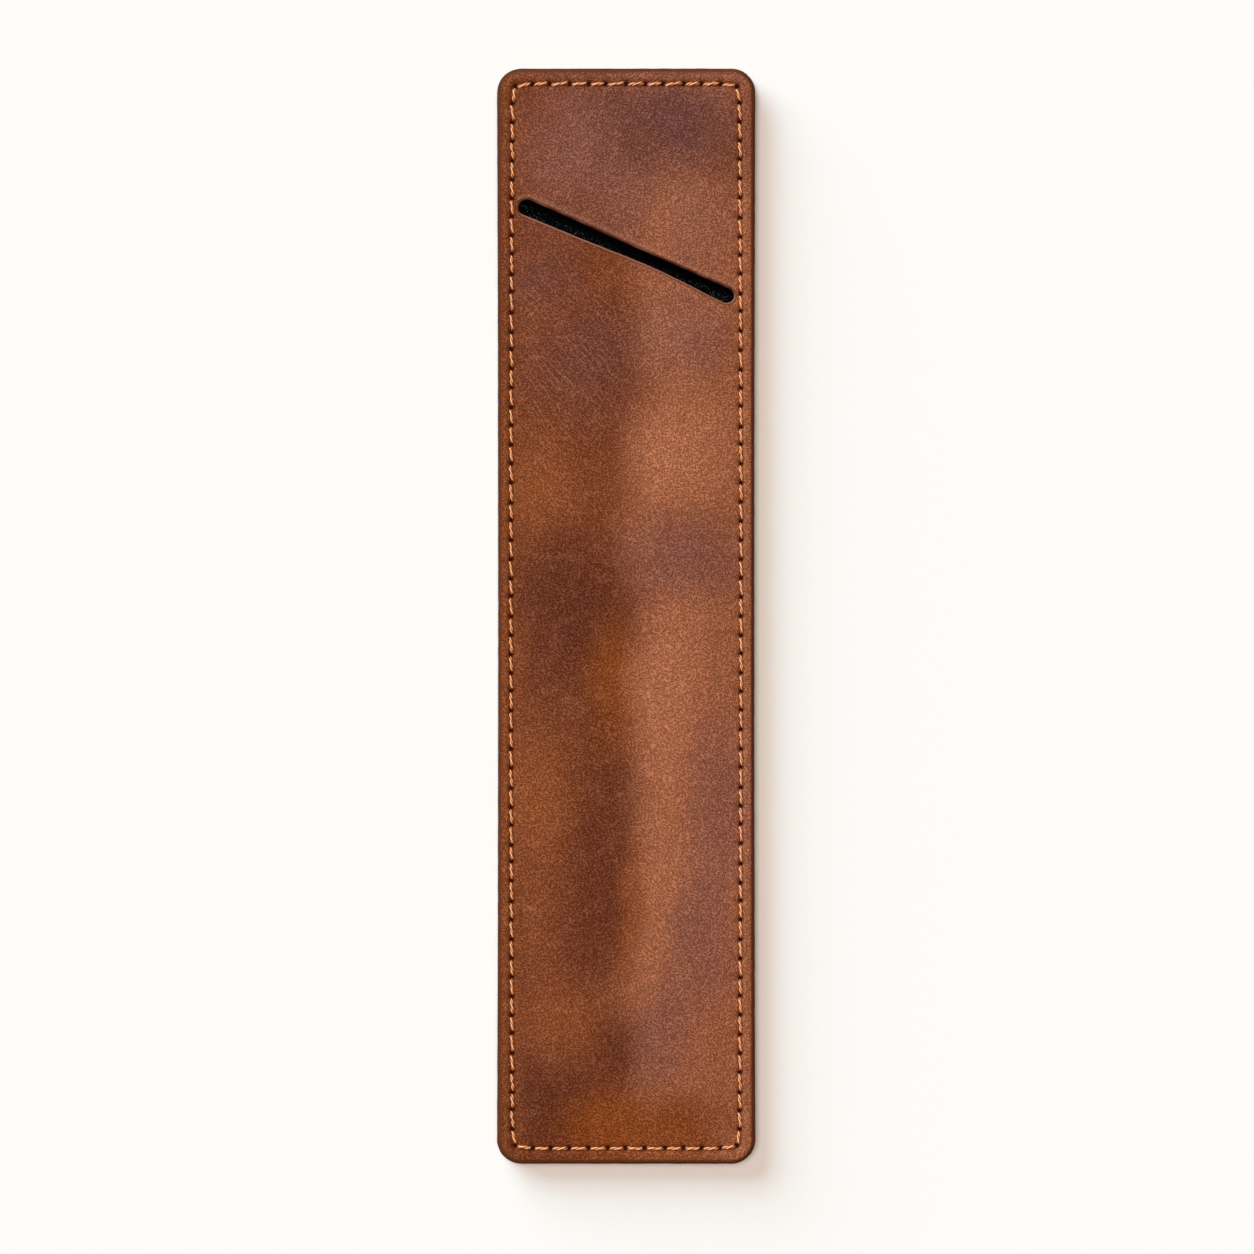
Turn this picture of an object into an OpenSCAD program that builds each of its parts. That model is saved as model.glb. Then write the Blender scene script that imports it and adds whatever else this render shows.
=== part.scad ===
// Single pen sleeve: two lined leather panels lockstitched together round the edge.
// A slanted slot across the front panel is the mouth of the pocket between the linings.
// The sleeve lies on its back: X across it, Y along it towards the slotted end, Z up out of the front.
// The origin is the middle of the footprint, on the surface that the back panel lies on.

/* [Sleeve] */
// Overall length
sleeve_length = 165; // [130:1:200]
// Overall width over the edge coat
sleeve_width = 39; // [34:0.5:60]
// Corner radius of the outline
corner_radius = 3.7; // [3:0.1:8]

/* [Layers] */
// Thickness of each leather panel
cover_thickness = 1.4; // [1.1:0.1:2.5]
// Thickness of each lining
lining_thickness = 0.6; // [0.3:0.1:1.2]
// Thickness of the board let into the back panel
stiffener_thickness = 0.5; // [0.2:0.1:0.8]
// Distance from the seam line to the board's edge
stiffener_setback = 1.5; // [1:0.1:6]
// Corner radius of the board
stiffener_corner = 2; // [1:0.5:6]

/* [Crown] */
// Lift of the front panel over the empty pocket, above the seam
crown_height = 2.2; // [0.8:0.1:5]
// Width of the level strip along the middle of the crown
crown_flat = 2; // [1:0.5:8]
// Distance over which the crown rises at the slotted end
crown_top_run = 34; // [15:1:50]
// Distance over which the crown rises at the closed end
crown_bottom_run = 18; // [8:1:50]

/* [Slot] */
// Clear width of the slot between its coated edges
slot_width = 2.4; // [1.6:0.1:6]
// Slant of the slot, falling towards the right
slot_angle = 23.5; // [0:0.5:35]
// Distance from the slotted end of the sleeve to the middle of the slot
slot_from_end = 27.8; // [20:0.1:45]
// Thickness of the coat that seals the cut edge of the slot
slot_coat_thickness = 0.2; // [0.1:0.05:0.5]
// Height that the slot's coat stands above the leather
slot_coat_rise = 0.1; // [0.05:0.05:0.3]

/* [Edge] */
// Thickness of the edge coat on the flat of the edge
edge_coat_thickness = 0.3; // [0.1:0.05:0.6]
// Radius of the rounded arris on both faces
edge_radius = 0.9; // [0.7:0.1:1]
// Thickness of the coat's lip where it ends on each face
edge_coat_lip = 0.1; // [0.05:0.05:0.2]

/* [Stitching] */
// Distance from the outer edge to the line of stitches
seam_inset = 2.45; // [2:0.05:4]
// Nominal distance from one needle hole to the next
stitch_pitch = 2.85; // [2.2:0.05:4]
// Thickness of the sewing thread, drawn square in section
thread_thickness = 0.45; // [0.3:0.05:0.5]
// Radius of the thread's inner side where it bends over the rim of a hole
thread_bend_radius = 0.05; // [0.04:0.01:0.1]
// Depth that the front stitches sink below the face of the leather
stitch_sink = 0.2; // [0.1:0.05:0.4]

/* [Fits] */
// Gap between a thread and the leather that it lies on
thread_seat_gap = 0.02; // [0.01:0.01:0.05]
// Gap between the two legs of thread in one hole
leg_gap = 0.06; // [0.04:0.01:0.1]
// Gap between the corners of the legs and the wall of the hole
leg_clearance = 0.02; // [0.01:0.01:0.05]
// Gap on each side of the thread in its groove
groove_clearance = 0.22; // [0.2:0.01:0.3]
// Depth of leather left over the back stitches, so that they stay off the surface
back_stitch_cover = 0.03; // [0.01:0.01:0.1]
// Gap between the needle thread and the bobbin thread where they meet inside a hole
knot_gap = 0.02; // [0.01:0.01:0.1]
// Leather left between the needle holes and the pocket
pocket_hole_gap = 0.05; // [0.05:0.05:1]
// Leather left between the needle holes and the ends of the slot's coat
slot_hole_gap = 0.15; // [0.1:0.05:3]

/* [Hidden] */

leather_colour = [0.52, 0.30, 0.20];
back_leather_colour = [0.48, 0.27, 0.18];
lining_colour = [0.07, 0.07, 0.08];
board_colour = [0.62, 0.55, 0.45];
coat_colour = [0.30, 0.16, 0.10];
thread_colour = [0.87, 0.60, 0.36];

half_width = sleeve_width / 2;
half_length = sleeve_length / 2;

// Levels of the stack at the seam
panel_thickness = cover_thickness + lining_thickness;
seam_height = 2 * panel_thickness;
back_lining_z = cover_thickness;
front_lining_z = panel_thickness;
front_cover_z = panel_thickness + lining_thickness;

// Sharpest corner given to an inset outline
least_corner = 0.5;
// Extra length of a cutting tool past the face that it cuts
cut_through = 0.5;
// Depth of the crown's foot below its level, inside the layer
crown_foot = min(cover_thickness, lining_thickness) / 2;
crown_levels = 10;
// Share of the crown's rise at its last ring, a little short of the top, where the corners would meet
crown_last_ring = 0.98;
crown_arc_steps = 7;
edge_arc_steps = 6;
// Width of the moulded band that carries the rounded arris
edge_band = edge_radius + 0.4;

seam_x = half_width - seam_inset;
seam_y = half_length - seam_inset;
side_stitches = round(2 * seam_y / stitch_pitch);
end_stitches = round(2 * seam_x / stitch_pitch);

// Thread in the needle holes: two legs side by side, and in a corner hole one leg on each line
half_thread = thread_thickness / 2;
thread_bend = thread_bend_radius + half_thread;
leg_offset = half_thread + leg_gap / 2;
corner_offset = 2 * leg_offset;
needle_hole = 2 * norm([leg_offset + half_thread, half_thread]) + 2 * leg_clearance;
corner_hole = sqrt(2) * (corner_offset + thread_thickness) + 2 * leg_clearance;
groove_width = thread_thickness + 2 * groove_clearance;
back_groove_depth = back_stitch_cover + thread_thickness + thread_seat_gap;
bend_steps = 2;
// Thickness of the tie between the two legs in a corner hole, as a share of the thread's
corner_tie = 0.8;

pocket_inset = seam_inset + needle_hole / 2 + pocket_hole_gap;
pocket_x = half_width - pocket_inset;
pocket_y = half_length - pocket_inset;
stiffener_inset = seam_inset + stiffener_setback;

slot_reach = seam_x - needle_hole / 2 - slot_hole_gap - slot_coat_thickness;
slot_run = 2 * (slot_reach - slot_width / 2) / cos(slot_angle);
slot_y = half_length - slot_from_end;

function inner_radius(inset) = max(corner_radius - inset, least_corner);
function blend(from, to, share) = from + (to - from) * share;

// Rounded rectangle, inset from the sleeve's outline
module outline(inset, radius) {
    x = half_width - inset;
    y = half_length - inset;
    square([2 * (x - radius), 2 * y], center = true);
    square([2 * x, 2 * (y - radius)], center = true);
    for (sx = [-1, 1], sy = [-1, 1])
        translate([sx * (x - radius), sy * (y - radius)])
            circle(radius, $fn = 48);
}

module plate(inset, bottom, top) {
    translate([0, 0, bottom])
        linear_extrude(top - bottom)
            outline(inset, inner_radius(inset));
}

// Sweeps a section round the sleeve's edge; its points are [distance in from the edge, height]
module edge_sweep(section) {
    straight_x = half_width - corner_radius;
    straight_y = half_length - corner_radius;
    sides = [[half_width, straight_y], [half_length, straight_x], [half_width, straight_y], [half_length, straight_x]];
    corners = [[straight_x, straight_y], [-straight_x, straight_y], [-straight_x, -straight_y], [straight_x, -straight_y]];
    for (quarter = [0 : 3]) {
        rotate(90 * quarter)
            translate([0, sides[quarter][1], 0])
                rotate([90, 0, 0])
                    linear_extrude(2 * sides[quarter][1])
                        polygon([for (p = section) [sides[quarter][0] - p[0], p[1]]]);
        translate([corners[quarter].x, corners[quarter].y, 0])
            rotate(90 * quarter)
                rotate_extrude(angle = 90, $fn = 48)
                    polygon([for (p = section) [corner_radius - p[0], p[1]]]);
    }
}

// Quarter of the leather's arris, from the flat of the edge up to the lip of the coat
function leather_arris(top) = [
    for (step = [0 : edge_arc_steps])
        let (turn = 90 * step / edge_arc_steps)
            [edge_radius - (edge_radius - edge_coat_thickness) * cos(turn),
             top - edge_radius + (edge_radius - edge_coat_lip) * sin(turn)]
];

// Quarter of the coat's outside, from the flat of the edge up to the face
function coat_arris(top) = [
    for (step = [0 : edge_arc_steps])
        let (turn = 90 * step / edge_arc_steps)
            [edge_radius * (1 - cos(turn)), top - edge_radius * (1 - sin(turn))]
];

function reversed(list) = [for (i = [len(list) - 1 : -1 : 0]) list[i]];
function turned_over(list) = [for (p = list) [p[0], seam_height - p[1]]];

// Leather panel with its upper arris rounded
module leather_plate() {
    linear_extrude(cover_thickness)
        outline(edge_band, inner_radius(edge_band));
    edge_sweep(concat(
        [[edge_band, 0], [edge_coat_thickness, 0]],
        leather_arris(cover_thickness),
        [[edge_radius, cover_thickness], [edge_band, cover_thickness]]
    ));
}

// Outline of the crown at a share of its rise, as a closed ring of points at one height
function crown_ring(share, height) =
    let (
        x = blend(pocket_x, crown_flat / 2, share),
        y_low = blend(-pocket_y, -pocket_y + crown_bottom_run, share),
        y_high = blend(pocket_y, pocket_y - crown_top_run, share),
        radius = blend(inner_radius(pocket_inset), x, share),
        centres = [[x - radius, y_high - radius], [radius - x, y_high - radius],
                   [radius - x, y_low + radius], [x - radius, y_low + radius]]
    )
    [for (corner = [0 : 3], step = [0 : crown_arc_steps])
        let (turn = 90 * (corner + step / crown_arc_steps))
            [centres[corner].x + radius * cos(turn), centres[corner].y + radius * sin(turn), height]];

function crown_lift(share) = crown_height * (1 - pow(1 - share, 2));

// Low dome over the pocket, standing on one level of the stack
module crown(level) {
    ring = 4 * (crown_arc_steps + 1);
    shares = [for (i = [0 : crown_levels]) crown_last_ring * i / crown_levels];
    points = concat(
        crown_ring(0, level - crown_foot),
        [for (share = shares) each crown_ring(share, level + crown_lift(share))]
    );
    last = len(points) - ring;
    walls = [for (base = [0 : ring : last - 1], i = [0 : ring - 1])
        let (a = base + i, b = base + (i + 1) % ring)
            each [[a, a + ring, b + ring], [a, b + ring, b]]];
    floor_faces = [for (i = [1 : ring - 2]) [0, i, i + 1]];
    top_faces = [for (i = [1 : ring - 2]) [last, last + i + 1, last + i]];
    polyhedron(points, concat(walls, floor_faces, top_faces));
}

// The seam's four runs, once round: the corner each starts from, its heading and its stitches
run_corners = [[seam_x, -seam_y], [seam_x, seam_y], [-seam_x, seam_y], [-seam_x, -seam_y]];
run_headings = [90, 180, 270, 0];
run_stitches = [side_stitches, end_stitches, side_stitches, end_stitches];
run_lengths = [2 * seam_y, 2 * seam_x, 2 * seam_y, 2 * seam_x];

module needle_holes(bottom, top) {
    height = top - bottom + 2 * cut_through;
    for (run = [0 : 3])
        translate([run_corners[run].x, run_corners[run].y, bottom - cut_through])
            rotate(run_headings[run]) {
                // The corner hole lies midway between its legs, inside the corner
                translate([corner_offset / 2, corner_offset / 2, 0])
                    cylinder(d = corner_hole, h = height, $fn = 24);
                for (i = [1 : run_stitches[run] - 1])
                    translate([i * run_lengths[run] / run_stitches[run], 0, 0])
                        cylinder(d = needle_hole, h = height, $fn = 24);
            }
}

module stitch_groove(bottom, depth) {
    outer = seam_inset - groove_width / 2;
    inner = seam_inset + groove_width / 2;
    translate([0, 0, bottom])
        linear_extrude(depth)
            difference() {
                outline(outer, inner_radius(outer));
                outline(inner, inner_radius(inner));
            }
}

module slot_outline(width) {
    square([slot_run, width], center = true);
    for (end = [-1, 1])
        translate([end * slot_run / 2, 0])
            circle(d = width, $fn = 48);
}

module slot_prism(width) {
    translate([0, slot_y, front_lining_z - crown_foot - cut_through])
        rotate(-slot_angle)
            linear_extrude(seam_height + crown_height)
                slot_outline(width);
}

// Points round an arc in a run's own plane of distance and height
function bow(centre, radius, from, to) = [
    for (step = [0 : bend_steps])
        let (turn = blend(from, to, step / bend_steps))
            centre + radius * [cos(turn), sin(turn)]
];

// Outer (side 1) or inner (side -1) edge of the thread along a run, hole by hole: up a leg, over the face,
// down the next leg and round its return bend
function thread_edge(length, count, foot, side) = [
    for (i = [0 : count - 1])
        let (
            start = i * length / count + (i == 0 ? corner_offset : leg_offset),
            end = (i + 1) * length / count - (i == count - 1 ? corner_offset : leg_offset),
            over = thread_bend + side * half_thread,
            under = leg_offset - side * half_thread
        )
        each concat(
            i == 0 ? [[start - side * half_thread, foot]] : [],
            bow([start + thread_bend, -thread_bend], over, 180, 90),
            bow([end - thread_bend, -thread_bend], over, 90, 0),
            i < count - 1 ? bow([end + leg_offset, foot], under, 180, 360)
                          : [[end + side * half_thread, foot]]
        )
];

// One continuous thread round the seam, its bars at height zero and its legs reaching down by leg_depth
module thread(leg_depth) {
    foot = leg_offset + half_thread - leg_depth;
    tie = corner_tie * half_thread;
    for (run = [0 : 3])
        translate([run_corners[run].x, run_corners[run].y, 0])
            rotate(run_headings[run]) {
                rotate([90, 0, 0])
                    translate([0, 0, -half_thread])
                        linear_extrude(thread_thickness)
                            polygon(concat(
                                thread_edge(run_lengths[run], run_stitches[run], foot, 1),
                                reversed(thread_edge(run_lengths[run], run_stitches[run], foot, -1))
                            ));
                // Tie from this run's first leg to the last leg of the run before it
                translate([corner_offset, 0, foot + half_thread])
                    rotate([0, 90, 135])
                        cylinder(r = tie, h = sqrt(2) * corner_offset, $fn = 16);
            }
}

module front_cover() {
    color(leather_colour)
        difference() {
            union() {
                translate([0, 0, front_cover_z])
                    leather_plate();
                crown(seam_height);
            }
            crown(front_cover_z);
            slot_prism(slot_width + 2 * slot_coat_thickness);
            stitch_groove(seam_height - stitch_sink, stitch_sink + cut_through);
            needle_holes(front_cover_z, seam_height);
        }
}

module slot_edge_coat() {
    color(coat_colour)
        difference() {
            intersection() {
                slot_prism(slot_width + 2 * slot_coat_thickness);
                union() {
                    plate(edge_band, front_lining_z, seam_height + slot_coat_rise);
                    crown(seam_height + slot_coat_rise);
                }
            }
            slot_prism(slot_width);
            crown(front_lining_z);
        }
}

module front_lining() {
    color(lining_colour)
        difference() {
            union() {
                plate(edge_coat_thickness, front_lining_z, front_cover_z);
                crown(front_cover_z);
            }
            crown(front_lining_z);
            slot_prism(slot_width + 2 * slot_coat_thickness);
            needle_holes(front_lining_z, front_cover_z);
        }
}

module back_lining() {
    color(lining_colour)
        difference() {
            plate(edge_coat_thickness, back_lining_z, front_lining_z);
            needle_holes(back_lining_z, front_lining_z);
        }
}

module back_stiffener() {
    color(board_colour)
        translate([0, 0, back_lining_z - stiffener_thickness])
            linear_extrude(stiffener_thickness)
                outline(stiffener_inset, stiffener_corner);
}

module back_cover() {
    color(back_leather_colour)
        difference() {
            translate([0, 0, cover_thickness])
                mirror([0, 0, 1])
                    leather_plate();
            translate([0, 0, back_lining_z - stiffener_thickness])
                linear_extrude(stiffener_thickness + cut_through)
                    outline(stiffener_inset, stiffener_corner);
            stitch_groove(-cut_through, back_groove_depth + cut_through);
            needle_holes(0, back_lining_z);
        }
}

module edge_coat() {
    color(coat_colour)
        edge_sweep(concat(
            reversed(coat_arris(seam_height)),
            turned_over(coat_arris(seam_height)),
            turned_over(reversed(leather_arris(seam_height))),
            leather_arris(seam_height)
        ));
}

module needle_thread() {
    bar_z = seam_height - stitch_sink + thread_seat_gap + half_thread;
    color(thread_colour)
        translate([0, 0, bar_z])
            thread(bar_z - (seam_height + knot_gap) / 2);
}

module bobbin_thread() {
    bar_z = back_stitch_cover + half_thread;
    color(thread_colour)
        translate([0, 0, bar_z])
            mirror([0, 0, 1])
                thread((seam_height - knot_gap) / 2 - bar_z);
}

front_cover();
slot_edge_coat();
front_lining();
back_lining();
back_stiffener();
back_cover();
edge_coat();
needle_thread();
bobbin_thread();
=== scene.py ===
"""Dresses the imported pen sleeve: two leather panels, their black linings, the sealed edges and the seam.

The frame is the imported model's: X across the sleeve, Y along it towards the slotted end, Z up out of the
front panel, origin in the middle of the footprint. Lengths are metres in the shapes, where MM turns a
maker's millimetres into them, and millimetres in the finishes, but for the depth of a relief. Angles are
degrees. A finish's colours are laid one over another, each by a share from 0 to 1.
"""

import logging
import math
from collections.abc import Callable, Sequence
from dataclasses import dataclass, field
from enum import Enum

import bpy
import numpy as np
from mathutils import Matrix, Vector
from mathutils.geometry import delaunay_2d_cdt


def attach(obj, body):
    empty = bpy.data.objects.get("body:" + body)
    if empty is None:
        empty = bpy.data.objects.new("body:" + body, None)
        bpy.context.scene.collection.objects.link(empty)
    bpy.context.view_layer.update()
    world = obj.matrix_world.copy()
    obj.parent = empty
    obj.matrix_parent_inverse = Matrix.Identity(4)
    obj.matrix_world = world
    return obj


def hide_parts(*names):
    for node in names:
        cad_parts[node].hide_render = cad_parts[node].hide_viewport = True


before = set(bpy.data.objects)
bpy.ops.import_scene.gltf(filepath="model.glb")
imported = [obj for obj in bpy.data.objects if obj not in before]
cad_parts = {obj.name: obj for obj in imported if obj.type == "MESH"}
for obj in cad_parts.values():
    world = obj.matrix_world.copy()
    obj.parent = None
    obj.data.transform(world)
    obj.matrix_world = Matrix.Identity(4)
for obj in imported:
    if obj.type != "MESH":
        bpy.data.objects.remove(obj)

LOG = logging.getLogger("pen_sleeve")
MM = 0.001

# Gap between the bands of a Wave texture at scale 1
WAVE_PERIOD = 0.314

# Reach along Z, in millimetres, that keeps height out of a distance
ANY_HEIGHT = 1000.0

# Distance, in millimetres, that no place on the sleeve reaches
NOWHERE = 40.0

Colour = tuple[float, float, float]
Array = np.ndarray
Height = Callable[[Array], Array]

# How far the long sides move at mid-length: outward, by distance from the middle line
EASE_FROM_MIDDLE = (13 * MM, 17 * MM, 19.5 * MM)
EASE_OUTWARD = (0.0, 0.28 * MM, -0.18 * MM)

# Clearance that keeps glued layers from sharing a face
GLUE_GAP = 0.005 * MM

# Rings below a layer's face at its edge, as (inset, drop from the face)
LEATHER_RIM = ((0.32 * MM, 1.4 * MM), (0.32 * MM, 0.9 * MM), (0.4 * MM, 0.4 * MM), (0.54 * MM, 0.14 * MM))
LINING_RIM = ((0.35 * MM, 0.58 * MM), (0.35 * MM, 0.02 * MM))

# Insets, in millimetres, of the rings across a leather's margin, closest along the stitches
FRONT_MARGIN = (
    *(0.6, 0.65, 0.71, 0.8, 0.9, 1.05, 1.2, 1.4, 1.6, 1.75, 1.88, 1.98, 2.07),
    *(2.15, 2.23, 2.3, 2.37, 2.44, 2.51, 2.58, 2.65, 2.72, 2.8, 2.88, 2.96, 3.05),
)
BACK_MARGIN = (
    *(0.6, 0.66, 0.75, 0.9, 1.1, 1.5, 1.8, 1.95, 2.05),
    *(2.15, 2.25, 2.35, 2.45, 2.55, 2.65, 2.75, 2.85, 2.95, 3.1),
)


# Shader arithmetic


class Value:
    """A number that varies over a surface. Arithmetic on it adds Math nodes to its graph."""

    def __init__(self, graph: "Graph", socket: bpy.types.NodeSocket) -> None:
        """Wraps the output socket of one of the graph's nodes."""
        self.graph = graph
        self.socket = socket

    def _math(self, operation: str, first: "Feed", second: "Feed") -> "Value":
        """Adds one Math node and gives its result."""
        return self.graph.add("ShaderNodeMath", {"operation": operation}, {0: first, 1: second})

    def __add__(self, other: "Feed") -> "Value":
        """self + other."""
        return self._math("ADD", self, other)

    def __sub__(self, other: "Feed") -> "Value":
        """self - other."""
        return self._math("SUBTRACT", self, other)

    def __rsub__(self, other: "Feed") -> "Value":
        """other - self."""
        return self._math("SUBTRACT", other, self)

    def __mul__(self, other: "Feed") -> "Value":
        """self * other."""
        return self._math("MULTIPLY", self, other)

    def __abs__(self) -> "Value":
        """The size of the value, whatever its sign."""
        return self._math("ABSOLUTE", self, 0.0)

    def rise(self, low: float, high: float, start: float = 0.0, end: float = 1.0) -> "Value":
        """Eases from start to end as the value goes from low to high, and stays level outside them.

        Args:
            low: Where the rise begins.
            high: Where it ends.
            start: The result at low.
            end: The result at high.

        Returns:
            The eased value.
        """
        return self.graph.add(
            "ShaderNodeMapRange",
            {"interpolation_type": "SMOOTHSTEP"},
            {"Value": self, "From Min": low, "From Max": high, "To Min": start, "To Max": end},
        )


Feed = Value | float | Sequence[float]


class Graph:
    """The node tree of one finish, built from expressions."""

    def __init__(self, name: str) -> None:
        """Starts a new material.

        Args:
            name: The finish's name.
        """
        self.material = bpy.data.materials.new(name)
        self.material.use_nodes = True
        self.nodes = self.material.node_tree.nodes
        self.links = self.material.node_tree.links
        self.nodes.clear()

    def add(
        self,
        kind: str,
        settings: dict[str, object] | None = None,
        inputs: dict[str | int, Feed] | None = None,
        out: str | int = 0,
    ) -> Value:
        """Adds a node of any type.

        Args:
            kind: The node's type.
            settings: Its settings, set first.
            inputs: Values or links, by socket name or number.
            out: The output that the result stands for.

        Returns:
            The chosen output.
        """
        node = self.nodes.new(kind)
        for key, setting in (settings or {}).items():
            setattr(node, key, setting)
        for key, feed in (inputs or {}).items():
            if isinstance(feed, Value):
                self.links.new(feed.socket, node.inputs[key])
            else:
                node.inputs[key].default_value = feed
        return Value(self, node.outputs[out])

    def vector(self, operation: str, first: Feed, second: Feed) -> Value:
        """Adds a Vector Math node with two vectors and gives the one that it works out."""
        return self.add("ShaderNodeVectorMath", {"operation": operation}, {0: first, 1: second})

    def length(self, vector: Value) -> Value:
        """The vector's length."""
        return self.add("ShaderNodeVectorMath", {"operation": "LENGTH"}, {0: vector}, out="Value")

    def axis(self, at: Value, number: int) -> Value:
        """One coordinate of places: 0, 1 or 2 for X, Y or Z."""
        return self.add("ShaderNodeSeparateXYZ", inputs={0: at}, out=number)

    def scaled(self, vector: Value, factor: float) -> Value:
        """The vector times a plain number."""
        return self.add("ShaderNodeVectorMath", {"operation": "SCALE"}, {0: vector, "Scale": factor})

    def mix(self, share: Feed, first: Feed | Colour, second: Feed | Colour, blend: str = "MIX") -> Value:
        """Mixes two colours.

        Args:
            share: How much of the second colour, from 0 to 1.
            first: The colour underneath.
            second: The colour laid over it.
            blend: The Mix node's blend type.

        Returns:
            The mixed colour.
        """
        sides = [side if isinstance(side, Value) else (*side, 1.0) for side in (first, second)]
        return self.add(
            "ShaderNodeMix",
            {"data_type": "RGBA", "blend_type": blend},
            {0: share, 6: sides[0], 7: sides[1]},
            out=2,
        )

    def millimetres(self) -> Value:
        """Places on the piece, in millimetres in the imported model's frame."""
        place = self.add("ShaderNodeTexCoord", out="Object")
        return self.scaled(place, 1.0 / MM)

    def noise(
        self, at: Value, scale: float, detail: float = 2.0, roughness: float = 0.5, out: str | int = 0
    ) -> Value:
        """Soft noise from about 0.2 to 0.8 round 0.5.

        Args:
            at: Where it is sampled, in millimetres.
            scale: Waves to the millimetre.
            detail: Finer layers added.
            roughness: Strength of the finer layers.
            out: The output wanted, "Color" for three numbers at once.

        Returns:
            The noise.
        """
        return self.add(
            "ShaderNodeTexNoise",
            {"noise_dimensions": "3D"},
            {"Vector": at, "Scale": scale, "Detail": detail, "Roughness": roughness},
            out,
        )

    def warped(self, at: Value, scale: float, reach: float, detail: float = 2.0) -> Value:
        """Shifts places about by soft noise.

        Args:
            at: Places, in millimetres.
            scale: Waves of the shift to the millimetre.
            reach: Largest shift, in millimetres.
            detail: Finer layers of the shift.

        Returns:
            The shifted places.
        """
        noise = self.noise(at, scale, detail, out="Color")
        centred = self.vector("SUBTRACT", noise, (0.5, 0.5, 0.5))
        return self.vector("ADD", at, self.scaled(centred, 2.0 * reach))

    def turned(
        self,
        at: Value,
        centre: Sequence[float] = (0.0, 0.0, 0.0),
        angle: float = 0.0,
        reach: Sequence[float] = (1.0, 1.0, 1.0),
    ) -> Value:
        """Places seen from a centre, turned by an angle and measured in reaches.

        Args:
            at: Places, in millimetres.
            centre: The new origin, in millimetres.
            angle: Turn about Z, in degrees.
            reach: Length that counts as 1 on each axis, in millimetres.

        Returns:
            The turned places.
        """
        return self.add(
            "ShaderNodeMapping",
            {"vector_type": "TEXTURE"},
            {"Vector": at, "Location": centre, "Rotation": (0.0, 0.0, math.radians(angle)), "Scale": reach},
        )

    def attribute(self, name: str) -> Value:
        """A number stored on the mesh under that name."""
        return self.add("ShaderNodeAttribute", {"attribute_name": name}, out="Fac")

    def bump(self, height: Value, depth: float) -> Value:
        """Bends the normal for a relief from 0 to 1 of a depth in metres."""
        return self.add("ShaderNodeBump", inputs={"Height": height, "Distance": depth, "Strength": 1.0})

    def surface(
        self, colour: Feed, roughness: Feed, specular: float = 0.5, normal: Value | None = None
    ) -> bpy.types.Material:
        """Closes the graph with one Principled shader.

        Args:
            colour: Base colour.
            roughness: Roughness.
            specular: Specular IOR Level.
            normal: The bent normal, or None for the plain one.

        Returns:
            The finished material.
        """
        inputs = {"Base Color": colour, "Roughness": roughness, "Specular IOR Level": specular}
        if normal is not None:
            inputs["Normal"] = normal
        shader = self.add("ShaderNodeBsdfPrincipled", inputs=inputs)
        output = self.nodes.new("ShaderNodeOutputMaterial")
        self.links.new(shader.socket, output.inputs["Surface"])
        return self.material


# Finishes


class Tone(Enum):
    """Colours that the tanner's wax and long use give the leather; some of them also paint shade and light
    across the front.
    """

    SLATE = (0.138, 0.046, 0.036)
    PLUM = (0.160, 0.049, 0.031)
    UMBER = (0.120, 0.027, 0.009)
    CHESTNUT = (0.186, 0.046, 0.014)
    RUSSET = (0.236, 0.061, 0.018)
    TAN = (0.272, 0.074, 0.019)
    AMBER = (0.290, 0.071, 0.009)
    MAUVE = (0.250, 0.090, 0.060)
    ROSE = (0.335, 0.126, 0.080)
    COPPER = (0.355, 0.118, 0.053)
    PEACH = (0.485, 0.176, 0.084)


@dataclass(frozen=True)
class Cloud:
    """One soft cloud in the leather's patina, in millimetres.

    Attributes:
        tone: Its colour.
        centre: Its middle.
        reach: Half-lengths over which it fades out.
        angle: Turn of its long axis, in degrees.
        strength: How far it covers what lies below it.
        full_to: Share of the reach up to which it keeps its strength.
        gone_at: Share of the reach at which nothing of it is left.
    """

    tone: Tone
    centre: tuple[float, float]
    reach: tuple[float, float]
    angle: float
    strength: float
    full_to: float = 0.1
    gone_at: float = 1.12

    def lay(self, graph: Graph, at: Value, below: Value) -> Value:
        """Lays the cloud over a colour.

        Args:
            graph: The leather's graph.
            at: Places, in millimetres.
            below: The colour under the cloud.

        Returns:
            The colour with the cloud on it.
        """
        local = graph.turned(at, (*self.centre, 0.0), self.angle, (*self.reach, ANY_HEIGHT))
        share = graph.length(local).rise(self.full_to, self.gone_at, self.strength, 0.0)
        return graph.mix(share, below, self.tone.value)


# Partly patina, partly painted light: the darker clouds left of the middle and the lighter ones right of it
# also paint the shade and light of the crown's ridge.
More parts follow.
